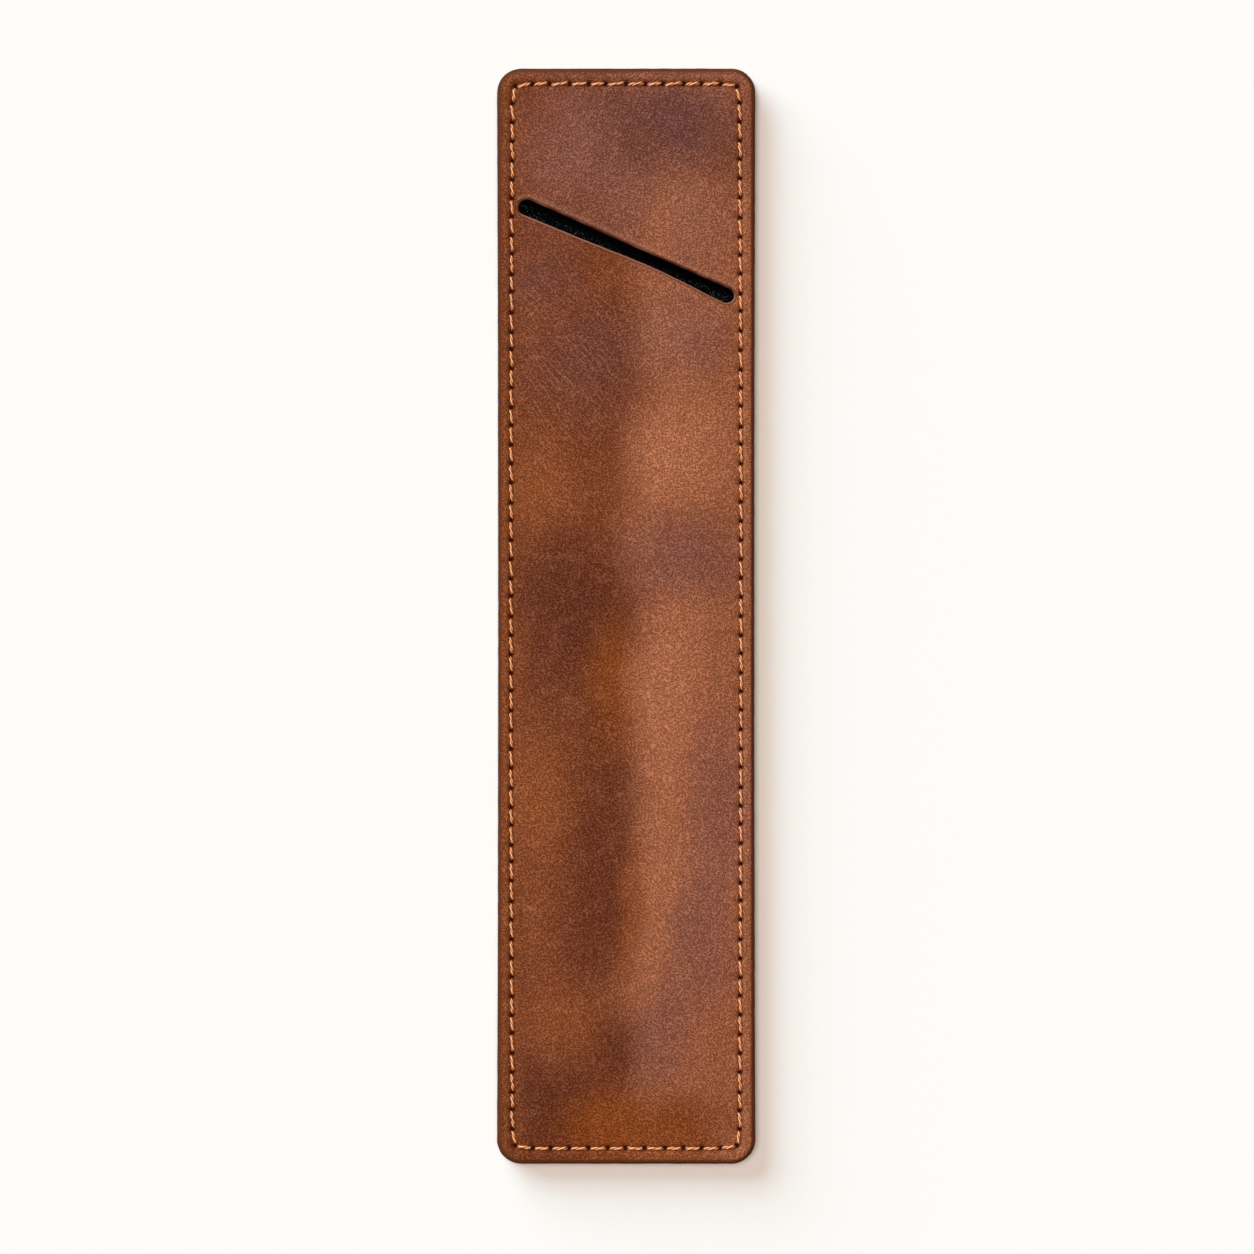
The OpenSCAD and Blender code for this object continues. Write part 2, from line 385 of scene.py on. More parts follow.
FRONT_CLOUDS = (
    Cloud(Tone.MAUVE, (-7.0, 71.0), (14.0, 14.0), 0.0, 0.85),
    Cloud(Tone.SLATE, (7.5, 74.5), (17.0, 13.5), -10.0, 0.95),
    Cloud(Tone.PLUM, (2.0, 69.0), (5.0, 8.0), 0.0, 0.55),
    Cloud(Tone.MAUVE, (-0.5, 61.5), (6.5, 7.5), 0.0, 0.75),
    Cloud(Tone.ROSE, (11.0, 58.0), (9.5, 9.0), 0.0, 0.6),
    Cloud(Tone.PLUM, (-12.0, 52.0), (7.0, 8.0), 0.0, 0.65),
    Cloud(Tone.RUSSET, (-3.5, 52.0), (4.5, 5.0), 0.0, 0.6),
    Cloud(Tone.RUSSET, (-11.0, 45.0), (7.0, 5.0), 0.0, 0.4),
    Cloud(Tone.PLUM, (-5.5, 39.0), (12.0, 11.0), 38.0, 0.75),
    Cloud(Tone.ROSE, (8.0, 43.0), (9.0, 11.0), 0.0, 0.75),
    Cloud(Tone.MAUVE, (12.5, 40.0), (5.5, 6.0), 0.0, 0.5),
    Cloud(Tone.PEACH, (9.0, 25.5), (10.5, 12.5), 0.0, 0.75),
    Cloud(Tone.TAN, (-12.5, 19.0), (8.0, 12.0), 0.0, 0.85),
    Cloud(Tone.RUSSET, (-4.0, 19.0), (7.0, 9.0), 0.0, 0.5),
    Cloud(Tone.UMBER, (-8.5, -0.5), (14.5, 17.0), 8.0, 1.0),
    Cloud(Tone.MAUVE, (9.5, 8.5), (12.5, 9.0), 0.0, 0.9),
    Cloud(Tone.AMBER, (-1.8, -10.0), (6.0, 14.0), 0.0, 0.6),
    Cloud(Tone.PEACH, (7.0, -12.0), (9.0, 20.0), 0.0, 0.65),
    Cloud(Tone.TAN, (-13.0, -27.0), (8.5, 14.0), 0.0, 0.85),
    Cloud(Tone.RUSSET, (-12.0, -45.0), (8.0, 18.0), 0.0, 0.6),
    Cloud(Tone.UMBER, (-4.0, -32.0), (10.0, 22.0), 0.0, 0.65),
    Cloud(Tone.UMBER, (-5.5, -46.0), (9.0, 15.0), 0.0, 0.6),
    Cloud(Tone.PEACH, (6.5, -38.0), (6.5, 22.0), 0.0, 0.4),
    Cloud(Tone.ROSE, (14.0, -38.0), (7.0, 32.0), -5.0, 0.75),
    Cloud(Tone.MAUVE, (13.5, -26.0), (5.5, 14.0), 0.0, 0.55),
    Cloud(Tone.MAUVE, (11.0, -50.0), (6.0, 14.0), -12.0, 0.55),
    Cloud(Tone.AMBER, (1.5, -45.0), (3.0, 14.0), 0.0, 0.35),
    Cloud(Tone.TAN, (-9.0, -61.0), (11.0, 7.0), 0.0, 0.6),
    Cloud(Tone.COPPER, (14.0, -65.0), (8.0, 12.0), 0.0, 0.7),
    Cloud(Tone.UMBER, (-0.5, -64.5), (6.0, 7.0), 0.0, 0.8),
    Cloud(Tone.MAUVE, (6.0, -63.0), (6.0, 9.5), -15.0, 0.75),
    Cloud(Tone.UMBER, (-12.5, -72.0), (11.0, 9.0), 0.0, 0.9),
    Cloud(Tone.RUSSET, (8.5, -77.5), (10.0, 9.0), 0.0, 0.95),
    Cloud(Tone.AMBER, (-2.5, -76.5), (10.0, 8.5), 0.0, 0.85),
    Cloud(Tone.AMBER, (6.5, -78.5), (9.0, 6.0), 0.0, 0.5),
    Cloud(Tone.TAN, (-20.0, -10.0), (5.0, 130.0), 0.0, 0.6),
    Cloud(Tone.COPPER, (-3.0, 83.5), (32.0, 5.0), 0.0, 0.5),
)

BACK_CLOUDS = (
    Cloud(Tone.UMBER, (6.0, 48.0), (14.0, 24.0), 20.0, 0.7),
    Cloud(Tone.COPPER, (-7.0, 30.0), (10.0, 24.0), 0.0, 0.7),
    Cloud(Tone.TAN, (8.0, 2.0), (11.0, 20.0), -10.0, 0.7),
    Cloud(Tone.UMBER, (-6.0, -28.0), (12.0, 22.0), 12.0, 0.7),
    Cloud(Tone.COPPER, (7.0, -48.0), (11.0, 22.0), 0.0, 0.7),
    Cloud(Tone.PLUM, (-8.0, 68.0), (13.0, 11.0), 0.0, 0.7),
    Cloud(Tone.CHESTNUT, (0.0, -74.0), (16.0, 10.0), 0.0, 0.7),
)


@dataclass(frozen=True)
class PatinaLeather:
    """Waxed, finely grained leather with a clouded patina, painted shade where it is sewn, and painted
    highlights and shade in its grain.

    Attributes:
        name: The finish's name.
        clouds: The patina's clouds, laid one over another.
        grain: Size of one grain, in millimetres.
        grain_depth: Depth of the grain's relief, in metres.
        grain_angle: Direction in which the grains are drawn out, in degrees.
        bend: Middle of the part that is creased most, in millimetres.
        bend_reach: How far the creases go from there, in millimetres.
        crease_angle: Slant of the creases, in degrees.
        crease_gap: Distance from crease to crease, in millimetres.
        hollow_shade: What the patina is multiplied by between the grains, a painted shade in the hollows.
        grain_highlight: How much lighter the patina is on the grains, a painted highlight.
        sheen: Colour laid on the highest grains, a painted sheen.
        crease_tone: Colour of the rubbed creases.
        groove_shade: Colour along the stitches, a painted shade in their groove.
        pit_shade: Colour at the needle holes, a painted shade in them.
        rim_tone: Colour where the edge paint has soaked in.
        lip_highlight: Colour of the painted highlight on the strip above the mouth.
    """

    name: str
    clouds: tuple[Cloud, ...]
    grain: float = 0.31
    grain_depth: float = 0.10 * MM
    grain_angle: float = -40.0
    bend: tuple[float, float, float] = (-8.0, 40.0, 0.0)
    bend_reach: tuple[float, float] = (12.0, 20.0)
    crease_angle: float = -52.0
    crease_gap: float = 0.85
    hollow_shade: Colour = (0.46, 0.36, 0.30)
    grain_highlight: float = 1.34
    sheen: Colour = (0.60, 0.31, 0.24)
    crease_tone: Colour = (0.56, 0.24, 0.13)
    groove_shade: Colour = (0.175, 0.036, 0.006)
    pit_shade: Colour = (0.062, 0.011, 0.002)
    rim_tone: Colour = (0.105, 0.028, 0.010)
    lip_highlight: Colour = (0.42, 0.185, 0.125)

    def patina(self, graph: Graph, at: Value) -> Value:
        """The clouded colour under the grain.

        Args:
            graph: The leather's graph.
            at: Places, in millimetres.

        Returns:
            The patina's colour.
        """
        drift = graph.warped(graph.warped(at, 0.06, 4.0), 0.35, 0.9, 3.0)
        across = graph.axis(drift, 0)
        # Darker left of the middle and lighter right of it: painted shade and painted light of the crown's
        # ridge, as if lit from the right.
        colour = graph.mix(across.rise(-4.0, 6.0), Tone.CHESTNUT.value, Tone.COPPER.value)
        for cloud in self.clouds:
            colour = cloud.lay(graph, drift, colour)
        mottle = graph.noise(at, 0.4, 4.0, 0.6)
        colour = graph.mix(mottle.rise(0.5, 0.75, 0.0, 0.14), colour, Tone.PEACH.value)
        return graph.mix(mottle.rise(0.25, 0.5, 0.14, 0.0), colour, Tone.UMBER.value)

    def grain_height(self, graph: Graph, at: Value) -> Value:
        """The grain: fine ridges with pebbles among them, drawn out one way.

        Args:
            graph: The leather's graph.
            at: Places, in millimetres.

        Returns:
            The grain's height, from 0 to 1.
        """
        stretched = graph.turned(at, angle=self.grain_angle, reach=(1.9, 0.85, 1.0))
        wandering = graph.warped(stretched, 0.5, 0.2, 1.0)
        ridges = graph.noise(wandering, 1.7 / self.grain, 0.0).rise(0.36, 0.64)
        pebbles = graph.add(
            "ShaderNodeTexVoronoi",
            {"feature": "DISTANCE_TO_EDGE"},
            {"Vector": wandering, "Scale": 1.25 / self.grain},
        ).rise(0.0, 0.25)
        return ridges * 0.72 + pebbles * 0.28

    def crease_strength(self, graph: Graph, at: Value) -> Value:
        """The long thin creases, broken here and there and faint away from the bend.

        Args:
            graph: The leather's graph.
            at: Places, in millimetres.

        Returns:
            The creases' strength, from 0 to 1.
        """
        down = graph.turned(graph.warped(at, 0.16, 1.5), angle=self.crease_angle)
        lines = graph.add(
            "ShaderNodeTexWave",
            {"wave_type": "BANDS", "bands_direction": "Y"},
            {
                "Vector": down,
                "Scale": WAVE_PERIOD / self.crease_gap,
                "Distortion": 1.2,
                "Detail": 2.0,
                "Detail Scale": 1.5,
            },
            out="Fac",
        ).rise(0.88, 1.0)
        lengthwise = graph.turned(down, centre=(3.0, 7.0, 0.0), reach=(6.0, 0.8, 1.0))
        unbroken = graph.noise(lengthwise, 1.0, 0.0).rise(0.43, 0.58)
        bent = graph.length(graph.turned(at, self.bend, reach=(*self.bend_reach, ANY_HEIGHT)))
        return lines * unbroken * bent.rise(0.5, 1.1, 1.0, 0.12)

    def make(self) -> bpy.types.Material:
        """Builds the material.

        Returns:
            The material.
        """
        graph = Graph(self.name)
        at = graph.millimetres()
        grain, creases = self.grain_height(graph, at), self.crease_strength(graph, at)
        groove, pit = graph.attribute("groove"), graph.attribute("pit")
        colour = self.patina(graph, at)
        # Painted shade between the grains, and painted highlights and sheen on them.
        colour = graph.mix(grain.rise(0.05, 0.6, 0.68, 0.0), colour, self.hollow_shade, "MULTIPLY")
        colour = graph.mix(grain.rise(0.4, 0.95), colour, graph.scaled(colour, self.grain_highlight))
        colour = graph.mix(grain.rise(0.55, 1.0, 0.0, 0.07), colour, self.sheen)
        colour = graph.mix(creases * 0.25, colour, self.crease_tone)
        # Painted shade in the stitches' groove.
        colour = graph.mix(groove * 0.85, colour, self.groove_shade)
        # Painted shade in the needle holes.
        colour = graph.mix(pit.rise(0.15, 0.8), colour, self.pit_shade)
        colour = graph.mix(graph.attribute("rim") * 0.6, colour, self.rim_tone)
        # Painted highlight on the strip above the mouth.
        colour = graph.mix(graph.attribute("lip") * 0.4, colour, self.lip_highlight)
        roughness = grain.rise(0.0, 1.0, 0.72, 0.52) + pit * 0.25
        height = grain * (1.0 - groove * 0.6) + creases * 0.3
        return graph.surface(colour, roughness, 0.1, graph.bump(height, self.grain_depth))


@dataclass(frozen=True)
class EdgePaint:
    """Edge paint, burnished to a dull gloss, with faint brush waves and a paler lap on the faces.

    Attributes:
        middle: Height of the edge's middle.
        lap_from: Distance from the middle at which the lap begins.
        lap_fade: Distance over which the side gives way to the lap.
        roughness: Roughness of the smoothest paint and of the roughest.
    """

    name: str
    side: Colour
    lap: Colour
    middle: float = 2.0
    lap_from: float = 1.8
    lap_fade: float = 0.15
    roughness: tuple[float, float] = (0.5, 0.65)
    brush_depth: float = 0.015 * MM

    def make(self) -> bpy.types.Material:
        """Builds the material.

        Returns:
            The material.
        """
        graph = Graph(self.name)
        at = graph.millimetres()
        body = graph.noise(at, 0.5, 4.0, 0.6)
        brush = graph.noise(graph.warped(at, 0.8, 0.3), 2.2, 3.0, 0.6)
        streaks = graph.noise(graph.turned(at, reach=(5.0, 5.0, 0.22)), 1.0)
        from_middle = abs(graph.axis(at, 2) - self.middle)
        lap = from_middle.rise(self.lap_from, self.lap_from + self.lap_fade)
        colour = graph.mix(body.rise(0.35, 0.7, 0.0, 0.15), self.side, self.lap)
        colour = graph.mix(streaks.rise(0.45, 0.65, 0.0, 0.35), colour, self.lap)
        colour = graph.mix(lap, colour, self.lap)
        # Painted highlight: lap colour on the slot bead's lower lip and right end, where it catches the
        # light.
        colour = graph.mix(graph.attribute("wear_and_highlight"), colour, self.lap)
        colour = graph.mix(brush.rise(0.5, 0.75, 0.25, 0.0), colour, self.side)
        roughness = brush.rise(0.3, 0.7, *self.roughness)
        return graph.surface(colour, roughness, 0.06, graph.bump(brush, self.brush_depth))


@dataclass(frozen=True)
class PebbledLining:
    """Black coated lining cloth, embossed with a fine pebble, with painted glints on it below the mouth,
    where light falls in.
    """

    name: str
    pebble: float = 0.27
    pebble_depth: float = 0.10 * MM
    mouth: tuple[float, float, float] = (0.0, 54.8, 0.0)
    mouth_angle: float = -24.0
    hollow: Colour = (0.0006, 0.0006, 0.0007)
    crest: Colour = (0.0024, 0.0026, 0.0031)
    cloth: Colour = (0.0012, 0.0012, 0.0014)
    glint: Colour = (0.098, 0.118, 0.138)

    def make(self) -> bpy.types.Material:
        """Builds the material.

        Returns:
            The material.
        """
        graph = Graph(self.name)
        at = graph.millimetres()
        cell = graph.add(
            "ShaderNodeTexVoronoi",
            {"feature": "F1"},
            {"Vector": graph.warped(at, 1.4, 0.08), "Scale": 1.0 / self.pebble},
        )
        crest = cell.rise(0.0, 0.6, 1.0, 0.0)
        thin = graph.noise(at, 0.6, 3.0).rise(0.4, 0.7, 0.0, 0.4)
        mouth = graph.turned(at, self.mouth, self.mouth_angle)
        beside, above = abs(graph.axis(mouth, 0)), graph.axis(mouth, 1)
        # Painted glints: only below the mouth's middle line, reaching higher towards its ends, where light
        # falls in.
        lit_below_mouth = (above - beside * 0.04).rise(-0.7, 0.1, 1.0, 0.03)
        glint = crest.rise(0.3, 0.85) * graph.noise(at, 2.2, 1.0).rise(0.38, 0.56) * lit_below_mouth
        colour = graph.mix(crest, self.hollow, self.crest)
        colour = graph.mix(thin, colour, self.cloth)
        colour = graph.mix(glint, colour, self.glint)
        roughness = crest.rise(0.0, 1.0, 0.6, 0.35)
        return graph.surface(colour, roughness, 0.12, graph.bump(crest, self.pebble_depth))


@dataclass(frozen=True)
class WaxedThread:
    """Waxed two-ply thread, with painted highlights on the plies' crests and painted shade where they meet
    and where it goes down into its holes.
    """

    name: str
    crest: Colour = (1.0, 0.52, 0.25)
    valley_shade: Colour = (0.50, 0.11, 0.012)
    worn: Colour = (0.75, 0.30, 0.10)
    sunk_shade: Colour = (0.10, 0.025, 0.005)
    fibre_depth: float = 0.02 * MM

    def make(self) -> bpy.types.Material:
        """Builds the material.

        Returns:
            The material.
        """
        graph = Graph(self.name)
        wound = {0: graph.attribute("along") * 0.9, 1: graph.attribute("round") * 5.0, 2: 0.0}
        fibre = graph.noise(graph.add("ShaderNodeCombineXYZ", inputs=wound), 2.2, 2.0, 0.6)
        wear_and_highlight = graph.noise(graph.millimetres(), 0.35).rise(0.4, 0.7, 0.0, 0.25)
        # Painted highlights on the plies' crests, painted shade where they meet.
        colour = graph.mix(graph.attribute("crest").rise(0.25, 0.9), self.valley_shade, self.crest)
        colour = graph.mix(fibre.rise(0.5, 0.75, 0.0, 0.25), colour, self.valley_shade)
        colour = graph.mix(wear_and_highlight, colour, self.worn)
        # Painted shade where the stitch goes down into its hole.
        colour = graph.mix(graph.attribute("sunk_shade"), colour, self.sunk_shade)
        roughness = fibre.rise(0.3, 0.7, 0.4, 0.6)
        return graph.surface(colour, roughness, 0.35, graph.bump(fibre, self.fibre_depth))


@dataclass(frozen=True)
class FibreBoard:
    """Plain pressed board with short fibres and flecks."""

    name: str
    dark: Colour = (0.30, 0.22, 0.14)
    light: Colour = (0.42, 0.33, 0.22)
    fleck: Colour = (0.16, 0.11, 0.07)
    fibre_depth: float = 0.03 * MM

    def make(self) -> bpy.types.Material:
        """Builds the material.

        Returns:
            The material.
        """
        graph = Graph(self.name)
        at = graph.millimetres()
        drawn_out = graph.turned(graph.warped(at, 0.4, 1.2), angle=20.0, reach=(3.0, 0.35, 1.0))
        fibres = graph.noise(drawn_out, 1.0, 3.0)
        flecks = graph.noise(at, 1.6).rise(0.62, 0.72)
        colour = graph.mix(fibres.rise(0.35, 0.65), self.dark, self.light)
        colour = graph.mix(flecks * 0.6, colour, self.fleck)
        roughness = fibres.rise(0.3, 0.7, 0.8, 0.95)
        return graph.surface(colour, roughness, normal=graph.bump(fibres, self.fibre_depth))


@dataclass(frozen=True)
class StudioPaper:
    """Plain warm white paper under the sleeve."""

    name: str
    colour: Colour = (0.90, 0.893, 0.862)

    def make(self) -> bpy.types.Material:
        """Builds the material."""
        return Graph(self.name).surface((*self.colour, 1.0), 0.95, 0.0)


# Shapes shared by the pieces


def bell(distance: Array, width: float) -> Array:
    """A smooth bump: 1 where the distance is 0, fading out over the width."""
    return np.exp(-((distance / width) ** 2))


def unit(rows: Array) -> Array:
    """Directions of the same heading and of length 1, one row each."""
    return rows / np.linalg.norm(rows, axis=1)[:, None]


def uneven(dice: np.random.RandomState, count: int, waves: range) -> Array:
    """Sums slow waves at places round a loop, as a brush leaves them; each swings so many times."""
    turn = np.linspace(0, 2 * math.pi, count, endpoint=False)
    return sum(dice.uniform(-1, 1) * np.sin(k * turn + dice.uniform(0, 6.28)) for k in waves)


@dataclass(frozen=True)
class Outline:
    """The sleeve's outline from above: a rectangle with rounded corners."""

    half_width: float = 19.5 * MM
    half_length: float = 82.5 * MM
    corner_radius: float = 3.7 * MM

    def stations(self, step: float, corner_steps: int) -> tuple[Array, Array]:
        """Places once round the outline, anticlockwise from the lower end of the right side.

        Args:
            step: Spacing on the straights.
            corner_steps: Steps round each corner.

        Returns:
            The places and the directions inward from them.
        """
        across = self.half_width - self.corner_radius
        along = self.half_length - self.corner_radius
        centres = [(across, along), (-across, along), (-across, -along), (across, -along)]
        lengths = [2 * along, 2 * across, 2 * along, 2 * across]
        points, inward = [], []
        for side in range(4):
            angle = side * math.pi / 2
            out = np.array([math.cos(angle), math.sin(angle)])
            heading = np.array([-out[1], out[0]])
            end = np.array(centres[side]) + out * self.corner_radius
            count = max(1, round(lengths[side] / step))
            for i in range(count):
                points.append(end - heading * lengths[side] * (1 - i / count))
                inward.append(-out)
            for i in range(corner_steps):
                turn = angle + math.pi / 2 * i / corner_steps
                ray = np.array([math.cos(turn), math.sin(turn)])
                points.append(np.array(centres[side]) + ray * self.corner_radius)
                inward.append(-ray)
        return np.array(points), np.array(inward)

    def inset(self, at: Array) -> Array:
        """How far each place lies in from the outline.

        Args:
            at: Places, one row each.

        Returns:
            The distances in, negative outside.
        """
        corner = np.array([self.half_width, self.half_length]) - self.corner_radius
        past = np.abs(at[:, :2]) - corner
        outside = np.hypot(*np.maximum(past, 0).T) + np.minimum(past.max(axis=1), 0)
        return self.corner_radius - outside


@dataclass(frozen=True)
class Crown:
    """The front panel's low swelling over the empty pocket."""

    half_width: float = 16.45 * MM
    half_length: float = 79.45 * MM
    half_ridge: float = 1.0 * MM
    top_run: float = 34.0 * MM
    bottom_run: float = 18.0 * MM
    corner: float = 0.65 * MM
    least_radius: float = 0.2 * MM
    height: float = 2.2 * MM
    softness: float = 0.035
    lowest_share: float = -0.25
    halvings: int = 22

    def share(self, at: Array) -> Array:
        """How far up the crown each place lies, from 0 at its foot to 1 along its spine.

        Args:
            at: Places, one row each.

        Returns:
            The shares, below 0 outside the foot.
        """
        low = np.full(len(at), self.lowest_share)
        high = np.ones(len(at))
        for _ in range(self.halvings):
            middle = (low + high) / 2
            half = self.half_width + (self.half_ridge - self.half_width) * middle
            bottom = -self.half_length + self.bottom_run * middle
            top = self.half_length - self.top_run * middle
            radius = np.maximum(self.corner + (half - self.corner) * middle, self.least_radius)
            past_x = np.abs(at[:, 0]) - half + radius
            past_y = np.abs(at[:, 1] - (top + bottom) / 2) - (top - bottom) / 2 + radius
            beyond = np.hypot(np.maximum(past_x, 0), np.maximum(past_y, 0))
            outside = beyond + np.minimum(np.maximum(past_x, past_y), 0) > radius
            high = np.where(outside, middle, high)
            low = np.where(outside, low, middle)
        return (low + high) / 2

    def lift(self, at: Array) -> Array:
        """Height of the crown over the flat of the seam.

        Args:
            at: Places, one row each.

        Returns:
            The heights.
        """
        share = self.share(at)
        eased = np.minimum((share + np.sqrt(share**2 + self.softness**2)) / 2, 1.0)
        return self.height * (1 - (1 - eased) ** 2)


@dataclass(frozen=True)
class Slot:
    """The slanted mouth of the pocket: a straight cut with round ends."""

    middle: tuple[float, float] = (0.0, 54.8 * MM)
    angle: float = -24.0
    half_run: float = 16.3 * MM
    cut_half: float = 1.4 * MM
    end_steps: int = 24
    lower_sag: float = 0.5 * MM
    lower_sag_at: float = 5.0 * MM
    lower_sag_run: float = 10.0 * MM
    upper_sag: float = 0.2 * MM
    upper_sag_run: float = 12.0 * MM
    sag_fade: float = 4.0 * MM
    strip_at: float = 1.72 * MM
    strip_half: float = 0.2 * MM
    strip_above: float = 0.5 * MM

    def axes(self) -> tuple[Array, Array]:
        """The slot's own directions.

        Returns:
            The directions along it and across it.
        """
        turn = math.radians(self.angle)
        along = np.array([math.cos(turn), math.sin(turn)])
        return along, np.array([-along[1], along[0]])

    def local(self, at: Array) -> tuple[Array, Array]:
        """Places seen from the slot's middle.

        Args:
            at: Places, one row each.

        Returns:
            How far each lies along the slot and across it.
        """
        along, across = self.axes()
        seen = at[:, :2] - np.array(self.middle)
        return seen @ along, seen @ across

    def distance(self, at: Array) -> Array:
        """Distance of each place from the slot's middle line."""
        run, side = self.local(at)
        return np.hypot(np.maximum(np.abs(run) - self.half_run, 0), side)

    def ring(self, half_width: float, step: float) -> tuple[Array, Array]:
        """Places once round the slot, anticlockwise.

        Args:
            half_width: Distance from the slot's middle line.
            step: Spacing on the straights; the round ends are closer.

        Returns:
            The places and the directions outward from them.
        """
        along, across = self.axes()
        count = round(2 * self.half_run / step)
        points, outward = [], []
        for side in (1, -1):
            for i in range(count):
                start = -side * along * self.half_run * (2 * i / count - 1)
                points.append(start + side * across * half_width)
                outward.append(side * across)
            for i in range(self.end_steps):
                angle = math.pi / 2 + math.pi * i / self.end_steps
                ray = side * (along * math.cos(angle) + across * math.sin(angle))
                points.append(-side * along * self.half_run + ray * half_width)
                outward.append(ray)
        return np.array(points) + np.array(self.middle), np.array(outward)

    def drooped(self, flat: Array) -> Array:
        """Lets the lips of the mouth sag towards each other between its ends.

        Args:
            flat: Places round the slot, one row each.

        Returns:
            The places, moved most at the lips.
        """
        run, side = self.local(flat)
        lower = self.lower_sag * bell(run - self.lower_sag_at, self.lower_sag_run)
        upper = -self.upper_sag * bell(run, self.upper_sag_run)
        share = np.exp(-np.maximum(np.abs(side) - self.cut_half, 0) / self.sag_fade)
        return flat + np.outer(np.where(side < 0, lower, upper) * share, self.axes()[1])

    def lip(self, at: Array) -> Array:
        """How far each place lies on the strip above the mouth that takes a painted highlight, from 0 to 1.
        """
        strip = bell(self.distance(at) - self.strip_at, self.strip_half)
        return strip * (self.local(at)[1] > self.strip_above)


@dataclass(frozen=True)
class Stitching:
    """The line of needle holes round the sleeve, with the small unevenness of a real seam."""

    half_width: float = 17.05 * MM
    half_length: float = 80.05 * MM
    side_stitches: int = 56
    end_stitches: int = 12
    corner_in: float = 0.4 * MM
    wander: float = 0.11 * MM
    most_slip: float = 2.0
    seed: int = 11

    def runs(self) -> list[Array]:
        """The holes, run by run, anticlockwise from the lower right corner.

        Returns:
            The holes of the four runs; each corner hole is in two of them.
        """
        dice = np.random.RandomState(self.seed)
        signs = ((1, -1), (1, 1), (-1, 1), (-1, -1))
        corners = np.array(signs) * (self.half_width, self.half_length)
        runs = []
        for side, count in enumerate((self.side_stitches, self.end_stitches) * 2):
            start, end = corners[side], corners[(side + 1) % 4]
            share = np.linspace(0, 1, count + 1)[:, None]
            heading = (end - start) / np.linalg.norm(end - start)
            slip = dice.normal(0, 1, count + 1)
            slip[0] = slip[-1] = 0
            slip = np.clip(slip, -self.most_slip, self.most_slip) * self.wander
            holes = start + (end - start) * share + np.outer(slip, heading)
            for corner in (0, -1):
                holes[corner] -= np.sign(holes[corner]) * self.corner_in
            runs.append(holes)
        return runs

    def holes(self) -> Array:
        """Every hole once."""
        return np.vstack([run[:-1] for run in self.runs()])


class Builder:
    """Gathers vertices and faces, and turns them into one shaded piece."""

    def __init__(self) -> None:
        """Starts an empty mesh."""
        self.vertices: list[Array] = []
        self.faces: list[tuple[int, ...]] = []
        self.count = 0

    def put(self, points: Array) -> Array:
        """Adds vertices.

        Args:
            points: Their places, one row each.

        Returns:
            Their numbers.
        """
        self.vertices.append(points)
        numbers = np.arange(self.count, self.count + len(points))
        self.count += len(points)
        return numbers

    def band(self, first: Array, second: Array, closed: bool = True) -> None:
        """Joins two rows of vertices with quads.

        Args:
            first: Numbers of one row.
            second: Numbers of the other, as many.
            closed: Whether the rows are rings.
        """
        if closed:
            first, second = np.append(first, first[0]), np.append(second, second[0])
        corners = (first[:-1], first[1:], second[1:], second[:-1])
        self.faces += list(zip(*(row.tolist() for row in corners)))

    def tube(self, rings: list[Array]) -> None:
        """Joins each ring to the next, and the last to the first."""
        for one, two in zip(rings, rings[1:] + rings[:1]):
            self.band(two, one)

    def piece(self, name: str, attributes: dict[str, Array] | None = None) -> bpy.types.Object:
        """Makes the smooth-shaded object.

        Args:
            name: The piece's name.
            attributes: Numbers stored on its vertices, by name.

        Returns:
            The object.
        """
        mesh = bpy.data.meshes.new(name)
        mesh.from_pydata(eased(np.vstack(self.vertices)).tolist(), [], self.faces)
        for key, numbers in (attributes or {}).items():
            mesh.attributes.new(key, "FLOAT", "POINT").data.foreach_set("value", numbers.astype(np.float32))
        mesh.polygons.foreach_set("use_smooth", np.ones(len(mesh.polygons), bool))
        mesh.update()
        piece = bpy.data.objects.new(name, mesh)
        bpy.context.scene.collection.objects.link(piece)
        return piece


def eased(at: Array) -> Array:
    """Lets the long sides move as sewn leather does: the edge draws in and the seam bows out a little.

    Args:
        at: Places, one row each.

    Returns:
        The places, moved most at mid-length.
    """
    bow = np.clip(1 - (at[:, 1] / Outline.half_length) ** 2, 0, 1)
    move = np.interp(np.abs(at[:, 0]), EASE_FROM_MIDDLE, EASE_OUTWARD)
    return np.column_stack([at[:, 0] + np.sign(at[:, 0]) * move * bow, at[:, 1:]])


def fill(ring: Array, hole: Array | None, loose: Array) -> list[tuple[int, int, int]]:
    """Triangulates the inside of a ring, round a hole if there is one.

    Args:
        ring: The ring's places, anticlockwise.
        hole: The hole's places, or None.
        loose: Places inside to run the triangles through.

    Returns:
        Triangles, numbered through ring, hole and loose in that order.
    """
    parts = [ring] + ([] if hole is None else [hole]) + [loose]
    places = np.vstack(parts)
    edges = [(i, (i + 1) % len(ring)) for i in range(len(ring))]
    if hole is not None:
        first = len(ring)
        edges += [(first + i, first + (i + 1) % len(hole)) for i in range(len(hole))]
    made = delaunay_2d_cdt([Vector(p / MM) for p in places], edges, [], 0, 1e-6)
    origin = [found[0] for found in made[3]]
    triangles = [tuple(origin[i] for i in face) for face in made[2]]
    if hole is None:
        return triangles
    inside = range(len(ring), len(ring) + len(hole))
    return [t for t in triangles if not all(i in inside for i in t)]


